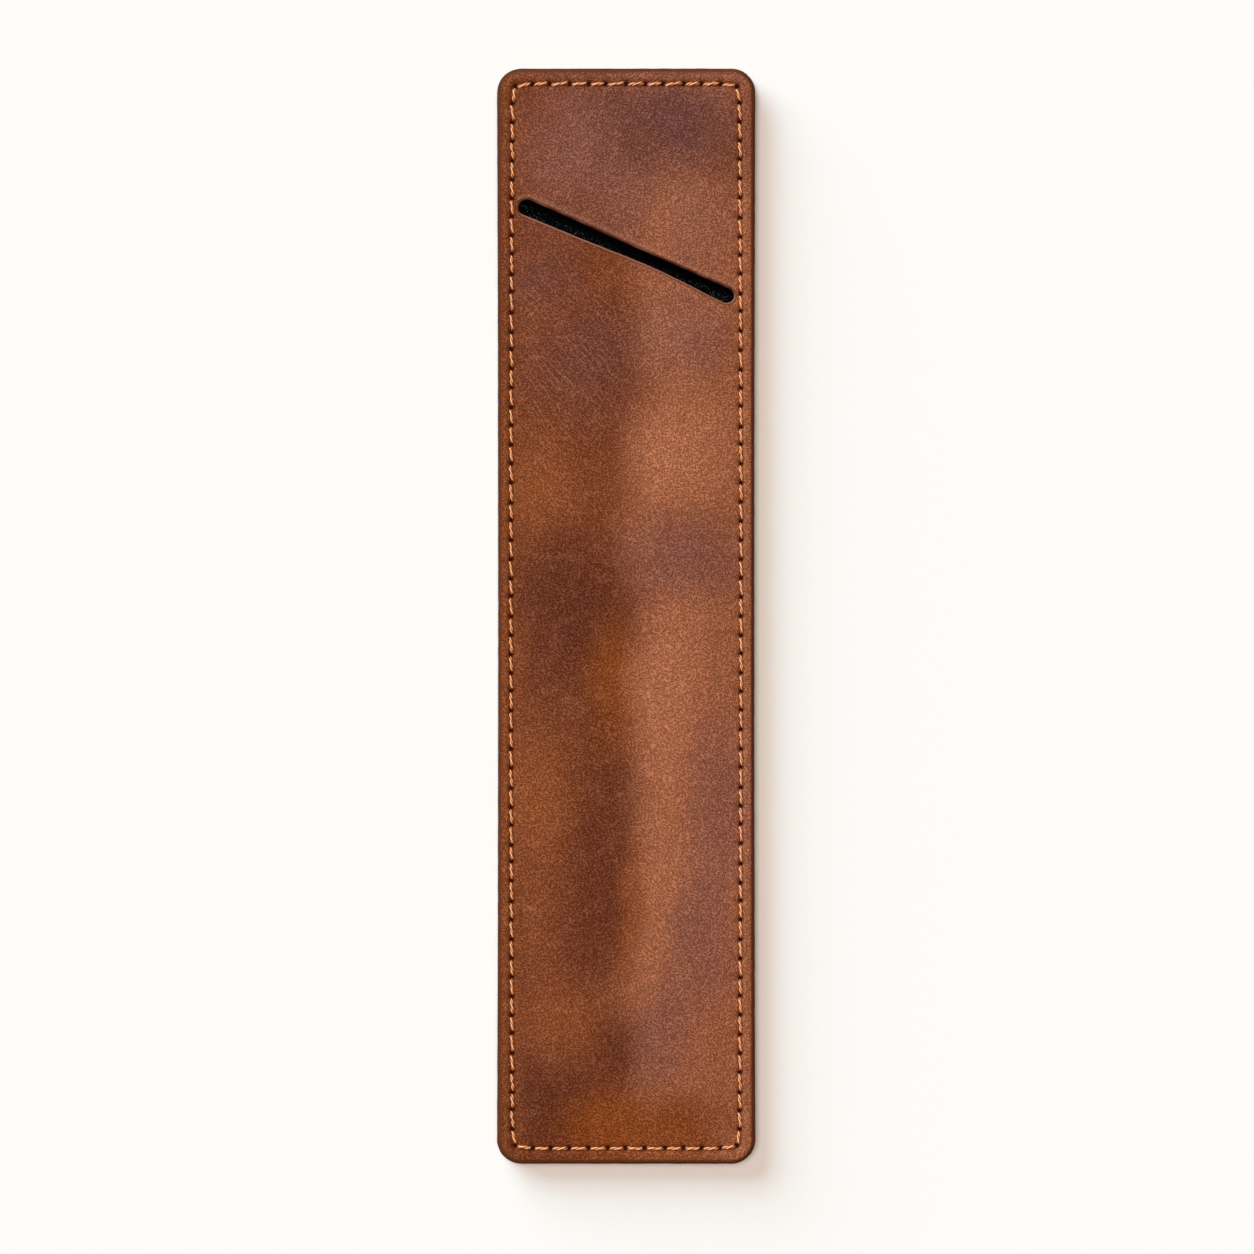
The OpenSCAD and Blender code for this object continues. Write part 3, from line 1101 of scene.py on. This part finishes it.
@dataclass
class Sheet:
    """A flat-lying layer of the sleeve, built as rings in from its edge and a fill, closed underneath.

    Attributes:
        name: The piece's name.
        outline: The sleeve's outline.
        rim: Rings below the face at the layer's edge, as (inset, drop from the face), lowest first.
        insets: Insets of the rings across the margin, outermost first, in millimetres.
        step: Spacing of the rings' vertices.
        fill_step: Spacing of the fill's vertices.
        face: Height of the face over a place.
        under: Height of the underside over a place.
        slot: The slot through the layer, or None.
        facing: 1 for a layer that faces up, -1 for one that faces down.
        under_rings: Insets at which the underside steps.
        corner_steps: Steps round each corner of the outline.
        clear_share: Least distance from the fill to its ring, in the fill's steps.
        cut_step: Spacing of the vertices along the slot.
        collar_gap: Distance from the slot to the closer ring that goes round it.
        collar_step: Spacing of that ring's vertices.
        collar_clear: Least distance from that ring to the margin.
        under_step: Spacing of the underside's vertices.
        under_clear: Least distance from them to the edge.
        under_skip: The underside takes one of so many of a ring's vertices.
        step_clear: Least distance from the innermost step to the grid.
        builder: What gathers the layer's vertices and faces.
        places: Flat places of the vertices so far.
    """

    name: str
    outline: Outline
    rim: tuple[tuple[float, float], ...]
    insets: tuple[float, ...]
    step: float
    fill_step: float
    face: Height
    under: Height
    slot: Slot | None = None
    facing: int = 1
    under_rings: tuple[float, ...] = ()
    corner_steps: int = 20
    clear_share: float = 0.45
    cut_step: float = 0.3 * MM
    collar_gap: float = 0.35 * MM
    collar_step: float = 0.4 * MM
    collar_clear: float = 0.25 * MM
    under_step: float = 5.0 * MM
    under_clear: float = 1.5 * MM
    under_skip: int = 5
    step_clear: float = 1.0 * MM
    builder: Builder = field(default_factory=Builder, init=False)
    places: list[Array] = field(default_factory=list, init=False)

    def put(self, flat: Array, height: Array) -> Array:
        """Adds vertices over flat places, drawn to the slot where there is one.

        Args:
            flat: The places, one row each.
            height: Height over each place.

        Returns:
            The vertices' numbers.
        """
        self.places.append(flat)
        moved = flat if self.slot is None else self.slot.drooped(flat)
        return self.builder.put(np.column_stack([moved, height]))

    def grid(self, step: float, keep_off: float, edge: float) -> Array:
        """Loose places in a staggered grid inside a ring, clear of it and of the slot.

        Args:
            step: Their spacing.
            keep_off: Least distance from the ring and the slot.
            edge: Inset of the ring.

        Returns:
            The places.
        """
        half_width, half_length = self.outline.half_width, self.outline.half_length
        rows = np.arange(-half_length, half_length + step / 2, step * math.sqrt(3) / 2)
        columns = np.arange(-half_width, half_width, step)
        places = np.array([(x + i % 2 * step / 2, y) for i, y in enumerate(rows) for x in columns])
        places = places[self.outline.inset(places) > edge + keep_off]
        if self.slot is not None:
            places = places[self.slot.distance(places) > self.slot.cut_half + keep_off]
        return places

    def upper_grid(self) -> Array:
        """Loose places for the face, in close order round the slot.

        Returns:
            The places.
        """
        edge = self.insets[-1] * MM
        loose = self.grid(self.fill_step, self.clear_share * self.fill_step, edge)
        if self.slot is None:
            return loose
        collar = self.slot.ring(self.slot.cut_half + self.collar_gap, self.collar_step)[0]
        collar = collar[self.outline.inset(collar) > edge + self.collar_clear]
        loose = loose[self.slot.distance(loose) > self.slot.cut_half + 2 * self.collar_gap]
        return np.vstack([loose, collar])

    def lower_grid(self, base: Array, inward: Array) -> Array:
        """Loose places for the underside, with rings of them where it steps.

        Args:
            base: Places round the outline.
            inward: Directions inward from them.

        Returns:
            The places.
        """
        loose = self.grid(self.under_step, self.under_clear, self.rim[0][0])
        if not self.under_rings:
            return loose
        loose = loose[self.outline.inset(loose) > max(self.under_rings) + self.step_clear]
        skip = slice(None, None, self.under_skip)
        return np.vstack([loose] + [base[skip] + inward[skip] * inset for inset in self.under_rings])

    def cap(self, numbers: Array, edge: Array, loose: Array, level: Height, way: int) -> Array:
        """Closes one side of the layer.

        Args:
            numbers: Numbers of the vertices round its edge.
            edge: Their flat places.
            loose: Flat places inside.
            level: Height of the side over a place.
            way: 1 if its triangles face up, -1 if they face down.

        Returns:
            Numbers of the first vertices added, which lie round the slot where there is one.
        """
        cut = None if self.slot is None else self.slot.ring(self.slot.cut_half, self.cut_step)[0]
        added = [self.put(flat, level(flat)) for flat in (cut, loose) if flat is not None]
        lookup = np.concatenate([numbers, *added]).tolist()
        self.builder.faces += [tuple(lookup[i] for i in face[::way]) for face in fill(edge, cut, loose)]
        return added[0]

    def build(self, marks: Callable[[Array], dict[str, Array]] | None = None) -> bpy.types.Object:
        """Builds the layer.

        Args:
            marks: Works out the numbers to store on the vertices from their places.

        Returns:
            The piece.
        """
        base, inward = self.outline.stations(self.step, self.corner_steps)
        steps = (*self.rim, *((inset * MM, 0.0) for inset in self.insets))
        flats = [base + inward * inset for inset, _ in steps]
        levels = [self.face(flat) - self.facing * drop for flat, (_, drop) in zip(flats, steps)]
        rings = [self.put(flat, level) for flat, level in zip(flats, levels)]
        for lower, upper in zip(rings, rings[1:]):
            self.builder.band(lower, upper)
        top = self.cap(rings[-1], flats[-1], self.upper_grid(), self.face, 1)
        bottom = self.cap(rings[0], flats[0], self.lower_grid(base, inward), self.under, -1)
        if self.slot is not None:
            self.builder.band(top, bottom)
        if self.facing < 0:
            self.builder.faces = [face[::-1] for face in self.builder.faces]
        return self.builder.piece(self.name, marks(np.vstack(self.places)) if marks else None)


# Sub-assemblies


@dataclass(frozen=True)
class Strand:
    """What sets one of the seam's two threads apart.

    Attributes:
        bar: Height of the stitches' middle line.
        knot: Height at which the legs meet the other thread.
        facing: 1 for the front thread, -1 for the back one.
        arch: How much higher a stitch is in its middle.
        stations: Places along the part of a stitch that shows.
        sides: Sides of one ply.
    """

    name: str
    node: str
    bar: float
    knot: float
    facing: int
    arch: float
    stations: int
    sides: int


FRONT_STRAND = Strand("needle_thread_stitches", "needle_thread", 4.075 * MM, 2.03 * MM, 1, 0.04 * MM, 22, 8)
BACK_STRAND = Strand("bobbin_thread_stitches", "bobbin_thread", 0.262 * MM, 1.97 * MM, -1, 0.0, 16, 6)


@dataclass(frozen=True)
class Stitch:
    """One stitch's path from leg to leg, and the directions that its plies wind through.

    Attributes:
        line: Places along the path, one row each.
        across: The level direction across the path.
        normal: Directions square to the path and to the level one, one row each.
        out: How far each place has come out of its hole, from 0 to 1.
    """

    line: Array
    across: Array
    normal: Array
    out: Array

    def travelled(self) -> Array:
        """Length of the path up to each place."""
        steps = np.linalg.norm(np.diff(self.line, axis=0), axis=1)
        return np.concatenate([[0], np.cumsum(steps)])

    def ray(self, angle: Array) -> Array:
        """Directions out from the path, at each place's angle from the level one."""
        return np.outer(np.cos(angle), self.across) + self.normal * np.sin(angle)[:, None]


@dataclass
class Seam:
    """How the stitches shape the leather, and the two threads that make them.

    Attributes:
        line: Inset of the stitches.
        near: Farthest that a place is still compared with a hole.
        rim_from: Inset at which the darkened rim has faded out.
        ply_offset: Distance of a ply from the thread's middle.
        slants: Usual slant of the stitches in each run, in degrees.
        leg_in: How far inside its holes a stitch begins and ends.
        leg_drop: How far below its bar a stitch begins to show.
        squareness: Power that squares off a stitch's ends.
        sinking: Power that keeps the painted shade off a stitch until it is well down its hole.
        end_kick: How far the ends turn aside.
        seed: Seed of the stitches' unevenness; each thread adds its facing to it.
    """

    stitching: Stitching = field(default_factory=Stitching)
    line: float = 2.45 * MM
    groove_half: float = 0.31 * MM
    front_depth: float = 0.16 * MM
    back_depth: float = 0.5 * MM
    pit_radius: float = 0.42 * MM
    pit_sharpness: float = 1.2
    pit_depth: float = 0.55 * MM
    dimple_radius: float = 0.8 * MM
    dimple_depth: float = 0.1 * MM
    near: float = 2.0 * MM
    rim_from: float = 1.0 * MM
    rim_fade: float = 0.4 * MM
    ply_radius: float = 0.145 * MM
    ply_offset: float = 0.095 * MM
    twist_length: float = 2.2 * MM
    slants: tuple[float, ...] = (5.0, 6.0, 6.0, -1.0)
    slant_spread: float = 1.6
    leg_in: float = 0.42 * MM
    leg_drop: float = 0.72 * MM
    squareness: float = 0.52
    end_kick: float = 0.05 * MM
    height_spread: float = 0.012 * MM
    sinking: float = 1.3
    seed: int = 5

    def marks(self, outline: Outline, at: Array) -> dict[str, Array]:
        """How deep in the groove, the needle pits and the darkened rim each place lies, from 0 to 1.

        Args:
            outline: The sleeve's outline.
            at: Places, one row each.

        Returns:
            The numbers, by name.
        """
        inset = outline.inset(at)
        nearest = np.full(len(at), 1.0)
        near_seam = np.flatnonzero(np.abs(inset - self.line) < self.near)
        for hole in self.stitching.holes():
            close = near_seam[np.abs(at[near_seam, 1] - hole[1]) < self.near]
            gap = np.hypot(at[close, 0] - hole[0], at[close, 1] - hole[1])
            nearest[close] = np.minimum(nearest[close], gap)
        return {
            "groove": bell(inset - self.line, self.groove_half),
            "pit": np.exp(-((nearest / self.pit_radius) ** 2) * self.pit_sharpness),
            "dimple": bell(nearest, self.dimple_radius),
            "rim": np.clip((self.rim_from - inset) / self.rim_fade, 0, 1),
        }

    def sink(self, outline: Outline, at: Array, depth: float) -> Array:
        """How far the stitches pull the leather's face in.

        Args:
            outline: The sleeve's outline.
            at: Places, one row each.
            depth: Depth of the groove.

        Returns:
            The depths.
        """
        marks = self.marks(outline, at)
        depths = {"groove": depth, "pit": self.pit_depth, "dimple": self.dimple_depth}
        return sum(marks[key] * most for key, most in depths.items())

    def stitch(
        self, strand: Strand, holes: tuple[Array, Array], slant: float, dice: np.random.RandomState
    ) -> Stitch:
        """Lays one stitch from hole to hole.

        Args:
            strand: The thread.
            holes: The two holes.
            slant: The stitch's usual slant, in degrees.
            dice: Where the draws come from.

        Returns:
            The stitch.
        """
        gap = holes[1] - holes[0]
        length = np.linalg.norm(gap)
        heading = gap / length
        left = np.array([-heading[1], heading[0]])
        reach = length / 2 - self.leg_in
        foot = strand.bar - strand.facing * self.leg_drop
        tilt = math.tan(math.radians(slant + dice.normal(0, self.slant_spread)))
        turn = np.linspace(0, math.pi, strand.stations)
        way = -np.sign(np.cos(turn)) * np.abs(np.cos(turn)) ** self.squareness * reach
        up = np.sin(turn) ** self.squareness
        arch = strand.arch * (1 - (way / reach) ** 2) + abs(dice.normal(0, self.height_spread))
        height = np.concatenate([[strand.knot], foot + (strand.bar - foot) * up + arch, [strand.knot]])
        way = np.concatenate([[way[0]], way, [way[-1]]])
        aside = way * tilt + self.end_kick * (way / reach) ** 3
        flat = (holes[0] + holes[1]) / 2 + np.outer(way, heading) + np.outer(aside, left)
        line = np.column_stack([flat, height])
        across = np.array([*left, 0.0])
        normal = np.cross(unit(np.gradient(line, axis=0)), across)
        return Stitch(line, across, unit(normal), np.concatenate([[0], up, [0]]))

    def thread(self, strand: Strand) -> bpy.types.Object:
        """Builds one of the two threads as twisted plies, stitch by stitch.

        Args:
            strand: The thread.

        Returns:
            The piece.
        """
        dice = np.random.RandomState(self.seed + strand.facing)
        builder = Builder()
        stored: dict[str, list[Array]] = {"crest": [], "along": [], "round": [], "sunk_shade": []}
        for run, slant in zip(self.stitching.runs(), self.slants):
            for holes in zip(run, run[1:]):
                stitch = self.stitch(strand, holes, slant, dice)
                travelled = stitch.travelled()
                level = np.ones(len(travelled))
                phase = dice.uniform(0, 2 * math.pi)
                for ply in (0, math.pi):
                    angle = -2 * math.pi * travelled / self.twist_length + phase + ply
                    centre = stitch.line + stitch.ray(angle) * self.ply_offset
                    rows = []
                    for side in range(strand.sides):
                        around = 2 * math.pi * side / strand.sides
                        rows.append(builder.put(centre + stitch.ray(angle + around) * self.ply_radius))
                        # Painted highlight on the outer side of each ply, painted shade where the plies
                        # meet.
                        stored["crest"].append(level * (0.5 + 0.5 * math.cos(around)))
                        stored["along"].append(travelled / MM + phase * 7)
                        stored["round"].append(level * side / strand.sides)
                        # Painted shade on the thread as it goes down into its hole.
                        stored["sunk_shade"].append(1 - stitch.out**self.sinking)
                    for one, two in zip(rows, rows[1:] + rows[:1]):
                        builder.band(one, two, closed=False)
        return builder.piece(strand.name, {key: np.concatenate(rows) for key, rows in stored.items()})

    def dress(self, finish: WaxedThread) -> list[bpy.types.Object]:
        """Builds and dresses both threads.

        Args:
            finish: The threads' finish.

        Returns:
            The pieces.
        """
        material = finish.make()
        strands = (FRONT_STRAND, BACK_STRAND)
        return [settle(self.thread(strand), material, strand.node, strand.node) for strand in strands]


@dataclass
class FrontPanel:
    """The crowned front leather with its slot, the slot's coat and the lining behind it.

    Attributes:
        puffs: Swellings that run along the edge, as (height, inset, half-width).
        coat_in: Distance of the coat's inner side from the slot's middle line.
        bead_turn: How far round the coat's bead goes, in half circles.
        lit_towards: The side on which the coat takes a painted highlight, where its bead catches the light.
    """

    outline: Outline
    crown: Crown
    slot: Slot
    seam: Seam
    face_level: float = 4.0 * MM
    leather_level: float = 2.6 * MM
    lining_level: float = 2.0 * MM
    puffs: tuple[tuple[float, float, float], ...] = (
        (0.09 * MM, 1.6 * MM, 0.45 * MM),
        (0.06 * MM, 3.3 * MM, 0.5 * MM),
        (-0.08 * MM, 0.55 * MM, 0.09 * MM),
    )
    lip_drop: float = 0.04 * MM
    lip_half: float = 0.5 * MM
    coat_rise: float = 0.12 * MM
    coat_in: float = 1.2 * MM
    coat_thick: float = 0.2 * MM
    coat_waver: float = 0.008 * MM
    bead_half: float = 0.155 * MM
    bead_round: float = 0.17 * MM
    bead_turn: float = 0.92
    lit_towards: tuple[float, float] = (0.5, -0.866)
    wear_and_highlight: float = 1.6
    coat_waves: range = range(5, 40, 5)
    coat_seed: int = 3

    def face(self, at: Array) -> Array:
        """Height of the leather's face.

        Args:
            at: Places, one row each.

        Returns:
            The heights.
        """
        inset = self.outline.inset(at)
        puff = sum(height * bell(inset - middle, half) for height, middle, half in self.puffs)
        lip = self.lip_drop * bell(self.slot.distance(at) - self.slot.cut_half, self.lip_half)
        sink = self.seam.sink(self.outline, at, self.seam.front_depth)
        return self.face_level + self.crown.lift(at) + puff - sink - lip

    def leather(self) -> bpy.types.Object:
        """Builds the front leather.

        Returns:
            The piece.
        """
        sheet = Sheet(
            name="front_leather",
            outline=self.outline,
            rim=LEATHER_RIM,
            insets=FRONT_MARGIN,
            step=0.2 * MM,
            fill_step=0.7 * MM,
            face=self.face,
            under=lambda at: self.leather_level + self.crown.lift(at),
            slot=self.slot,
        )
        return sheet.build(lambda at: {**self.seam.marks(self.outline, at), "lip": self.slot.lip(at)})

    def lining(self) -> bpy.types.Object:
        """Builds the lining behind the front leather.

        Returns:
            The piece.
        """
        return Sheet(
            name="front_lining_cloth",
            outline=self.outline,
            rim=LINING_RIM,
            insets=(0.4, 1.5, 2.4, 3.05),
            step=0.8 * MM,
            fill_step=1.4 * MM,
            face=lambda at: self.leather_level - 2 * GLUE_GAP + self.crown.lift(at),
            under=lambda at: self.lining_level + self.crown.lift(at),
            slot=self.slot,
        ).build()

    def coat_section(self) -> list[tuple[float, float]]:
        """The slot coat's section: up its inner side, over the bead and down its outer side.

        Returns:
            Its points, as (distance out from the inner side, height).
        """
        low, top = self.lining_level, self.face_level + self.coat_rise
        waist = low + 1.0 * MM
        section = [(0.0, low), (0.0, waist), (0.0, top - 0.35 * MM)]
        for angle in np.linspace(math.pi, math.pi * (1 - self.bead_turn), 9):
            out = self.bead_half * (1 + math.cos(angle))
            section.append((out, top - self.bead_round * (1 - math.sin(angle))))
        return section + [(0.30 * MM, top - 0.3 * MM), (self.coat_thick, waist), (self.coat_thick, low)]

    def slot_coat(self) -> bpy.types.Object:
        """Builds the rounded bead of coat round the slot.

        Returns:
            The piece.
        """
        builder = Builder()
        base, outward = self.slot.ring(self.coat_in, 0.25 * MM)
        dice = np.random.RandomState(self.coat_seed)
        waver = uneven(dice, len(base), self.coat_waves) * self.coat_waver
        section = self.coat_section()
        rings = []
        for out, height in section:
            flat = base + outward * (out + waver)[:, None]
            level = height + self.crown.lift(flat)
            rings.append(builder.put(np.column_stack([self.slot.drooped(flat), level])))
        builder.tube(rings)
        # Painted highlight on the side of the bead towards the lower right, its lower lip and right end.
        wear_and_highlight = np.clip(self.wear_and_highlight * outward @ np.array(self.lit_towards), 0, 1)
        return builder.piece("slot_coat_bead", {"wear_and_highlight": np.tile(wear_and_highlight, len(section))})

    def dress(
        self, leather: PatinaLeather, lining: PebbledLining, coat: EdgePaint
    ) -> list[bpy.types.Object]:
        """Builds and dresses the panel.

        Args:
            leather: The leather's finish.
            lining: The lining's finish.
            coat: The slot coat's finish.

        Returns:
            The pieces.
        """
        front = settle(self.leather(), leather.make(), "front_cover", "front_leather")
        cloth = settle(self.lining(), lining.make(), "front_lining", "front_lining")
        bead = settle(self.slot_coat(), coat.make(), "slot_edge_coat", "slot_coat")
        return [front, cloth, bead]


@dataclass
class BackPanel:
    """The flat back leather, the lining on it and the board between them.

    Attributes:
        board_level: Height of the bed that the board lies in.
        bed_insets: Insets at which the bed's side begins and ends.
    """

    outline: Outline
    seam: Seam
    leather_level: float = 1.4 * MM
    lining_level: float = 2.0 * MM
    board_level: float = 0.88 * MM
    bed_insets: tuple[float, float] = (3.88 * MM, 3.95 * MM)

    def face(self, at: Array) -> Array:
        """Height of the leather's face, which lies on the table and is pulled up along the seam."""
        return self.seam.sink(self.outline, at, self.seam.back_depth)

    def under(self, at: Array) -> Array:
        """Height of the leather's inner side, which is let in for the board."""
        bed = self.outline.inset(at) > sum(self.bed_insets) / 2
        return np.where(bed, self.board_level, self.leather_level)

    def leather(self) -> bpy.types.Object:
        """Builds the back leather.

        Returns:
            The piece.
        """
        sheet = Sheet(
            name="back_leather",
            outline=self.outline,
            rim=LEATHER_RIM,
            insets=BACK_MARGIN,
            step=0.3 * MM,
            fill_step=1.2 * MM,
            face=self.face,
            under=self.under,
            facing=-1,
            under_rings=self.bed_insets,
        )
        return sheet.build(lambda at: self.seam.marks(self.outline, at))

    def lining(self) -> bpy.types.Object:
        """Builds the lining on the back leather.

        Returns:
            The piece.
        """
        return Sheet(
            name="back_lining_cloth",
            outline=self.outline,
            rim=LINING_RIM,
            insets=(0.4, 1.5, 3.05),
            step=0.8 * MM,
            fill_step=1.6 * MM,
            face=lambda at: np.full(len(at), self.lining_level - GLUE_GAP),
            under=lambda at: np.full(len(at), self.leather_level),
        ).build()

    def dress(
        self, leather: PatinaLeather, lining: PebbledLining, board: FibreBoard
    ) -> list[bpy.types.Object]:
        """Builds and dresses the panel.

        Args:
            leather: The leather's finish.
            lining: The lining's finish.
            board: The board's finish.

        Returns:
            The pieces.
        """
        back = settle(self.leather(), leather.make(), "back_cover", "back_leather")
        cloth = settle(self.lining(), lining.make(), "back_lining", "back_lining")
        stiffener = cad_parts["back_stiffener"]
        stiffener.data.materials.clear()
        stiffener.data.materials.append(board.make())
        return [back, cloth, stiffener]


@dataclass
class SealedEdge:
    """The painted edge that runs round the whole sleeve and laps a little onto both faces.

    Attributes:
        lap: Inset at which the lap dips under the leather.
        layer_levels: Heights of the glued joints that show through.
    """

    outline: Outline
    height: float = 4.0 * MM
    radius: float = 0.9 * MM
    inner: float = 0.3 * MM
    lip: float = 0.3 * MM
    lap: float = 0.52 * MM
    dip: float = 0.16 * MM
    dip_run: float = 0.15 * MM
    layer_levels: tuple[float, ...] = (1.4 * MM, 2.0 * MM, 2.6 * MM)
    layer_line: float = 0.035 * MM
    layer_half: float = 0.09 * MM
    side_step: float = 0.12 * MM
    waver: float = 0.03 * MM
    waves: range = range(9, 160, 11)
    seed: int = 9

    def section(self) -> Array:
        """The coat's section as a closed loop, from the front lip outward and down.

        Returns:
            Its points, as rows of inset and height.
        """
        arris, inside = [], []
        for angle in np.linspace(0, math.pi / 2, 13):
            inset = self.radius * (1 - math.sin(angle))
            under = self.dip * min(1.0, max(0.0, inset - self.lap) / self.dip_run)
            arris.append((inset, self.height - self.radius * (1 - math.cos(angle)) - under))
        levels = np.arange(self.height - self.radius - self.side_step, self.radius, -self.side_step)
        dents = sum(bell(levels - joint, self.layer_half) for joint in self.layer_levels)
        side = list(zip(self.layer_line * dents, levels))
        for angle in np.linspace(0, math.pi / 2, 5):
            inset = self.radius - (self.radius - self.inner) * math.sin(angle)
            inside.append((inset, self.radius - (self.radius - self.lip) * math.cos(angle)))
        return np.array(arris + side + self.mirrored(arris) + inside + self.mirrored(inside))

    def mirrored(self, points: list[tuple[float, float]]) -> list[tuple[float, float]]:
        """Points of the section on the other half of the edge, in turned order."""
        return [(inset, self.height - level) for inset, level in reversed(points)]

    def build(self) -> bpy.types.Object:
        """Builds the coat as one loop swept round the sleeve.

        Returns:
            The piece.
        """
        builder = Builder()
        base, inward = self.outline.stations(0.8 * MM, 12)
        waver = uneven(np.random.RandomState(self.seed), len(base), self.waves)
        waver = (waver / np.abs(waver).max() + 1) * self.waver
        rings = []
        for inset, level in self.section():
            outside = np.clip(1 - inset / self.radius, 0, 1)
            flat = base + inward * (inset + waver * outside)[:, None]
            rings.append(builder.put(np.column_stack([flat, np.full(len(base), level)])))
        builder.tube(rings)
        return builder.piece("painted_edge")

    def dress(self, finish: EdgePaint) -> list[bpy.types.Object]:
        """Builds the edge and gives it its finish."""
        return [settle(self.build(), finish.make(), "edge_coat", "edge_coat")]


def settle(piece: bpy.types.Object, material: bpy.types.Material, node: str, slot: str) -> bpy.types.Object:
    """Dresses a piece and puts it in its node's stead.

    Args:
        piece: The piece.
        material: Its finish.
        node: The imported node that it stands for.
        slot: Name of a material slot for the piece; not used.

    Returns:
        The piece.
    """
    piece.data.materials.append(material)
    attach(piece, "root")
    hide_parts(node)
    return piece


@dataclass
class Studio:
    """Paper floor, soft light from the upper left and from overhead, and a camera straight above.

    Attributes:
        azimuth: Direction that both lights come from.
        key: Elevation, spread and strength of the light from the upper left.
        top: The same of the light from overhead.
    """

    frame_width: float = 188.6 * MM
    aim: tuple[float, float] = (0.12 * MM, -1.63 * MM)
    aim_height: float = 4.0 * MM
    lens: float = 120.0
    sensor: float = 36.0
    clip: tuple[float, float] = (0.01, 50.0)
    paper_half: float = 2.0
    paper_drop: float = 0.02 * MM
    azimuth: float = 131.0
    key: tuple[float, float, float] = (23.0, 50.0, 4.1)
    key_colour: Colour = (0.64, 0.867, 1.0)
    top: tuple[float, float, float] = (84.0, 28.0, 2.28)
    top_colour: Colour = (1.0, 0.842, 0.755)
    sky: Colour = (0.05, 0.045, 0.04)

    def floor(self) -> None:
        """Lays the paper."""
        builder = Builder()
        corners = np.array([(-1, -1, 0), (1, -1, 0), (1, 1, 0), (-1, 1, 0)]) * self.paper_half
        builder.put(corners - (0, 0, self.paper_drop))
        builder.faces.append((0, 1, 2, 3))
        paper = builder.piece("studio_paper")
        paper.data.materials.append(StudioPaper("studio_paper").make())

    def sun(self, name: str, setting: tuple[float, float, float], colour: Colour) -> bpy.types.Object:
        """Adds one distant soft light.

        Args:
            name: Its name.
            setting: Its elevation and spread in degrees, and its strength.
            colour: Its colour.

        Returns:
            The light.
        """
        elevation, spread, strength = setting
        light = bpy.data.lights.new(name, "SUN")
        light.energy, light.angle, light.color = strength, math.radians(spread), colour
        lamp = bpy.data.objects.new(name, light)
        up, way = math.radians(elevation), math.radians(self.azimuth)
        towards = Vector((math.cos(way) * math.cos(up), math.sin(way) * math.cos(up), math.sin(up)))
        lamp.rotation_mode = "QUATERNION"
        lamp.rotation_quaternion = towards.to_track_quat("Z", "Y")
        bpy.context.scene.collection.objects.link(lamp)
        return lamp

    def camera(self) -> None:
        """Hangs the camera."""
        data = bpy.data.cameras.new("camera")
        data.lens, data.sensor_width = self.lens, self.sensor
        data.clip_start, data.clip_end = self.clip
        camera = bpy.data.objects.new("camera", data)
        distance = self.frame_width * self.lens / self.sensor
        camera.location = (*self.aim, self.aim_height + distance)
        bpy.context.scene.collection.objects.link(camera)
        bpy.context.scene.camera = camera

    def build(self) -> None:
        """Sets up the paper, the lights, the sky and the camera."""
        self.floor()
        self.sun("key_light", self.key, self.key_colour)
        self.sun("top_light", self.top, self.top_colour).visible_glossy = False
        world = bpy.data.worlds.new("studio_sky")
        world.use_nodes = True
        world.node_tree.nodes["Background"].inputs["Color"].default_value = (*self.sky, 1.0)
        bpy.context.scene.world = world
        bpy.context.scene.view_settings.view_transform = "Standard"
        self.camera()


def main() -> None:
    """Builds the sleeve piece by piece and reports each one."""
    logging.basicConfig(level=logging.INFO, format="%(name)s: %(message)s")
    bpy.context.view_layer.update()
    Studio().build()
    outline, seam = Outline(), Seam()
    lining = PebbledLining("pebbled_lining")
    front_leather = PatinaLeather("front_patina_leather", FRONT_CLOUDS)
    back_leather = PatinaLeather("back_patina_leather", BACK_CLOUDS)
    edge_paint = EdgePaint("outer_edge_paint", side=(0.084, 0.020, 0.006), lap=(0.160, 0.045, 0.016))
    # Its lap colour is laid as a painted highlight on the bead's lower lip and right end.
    slot_paint = EdgePaint(
        "slot_edge_paint", side=(0.066, 0.017, 0.007), lap=(0.36, 0.14, 0.085), lap_from=NOWHERE
    )
    parts = [
        *FrontPanel(outline, Crown(), Slot(), seam).dress(front_leather, lining, slot_paint),
        *BackPanel(outline, seam).dress(back_leather, lining, FibreBoard("fibre_board")),
        *SealedEdge(outline).dress(edge_paint),
        *seam.dress(WaxedThread("waxed_thread")),
    ]
    for part in parts:
        LOG.info("%s: %d vertices, %d faces", part.name, len(part.data.vertices), len(part.data.polygons))


if __name__ == "__main__":
    main()
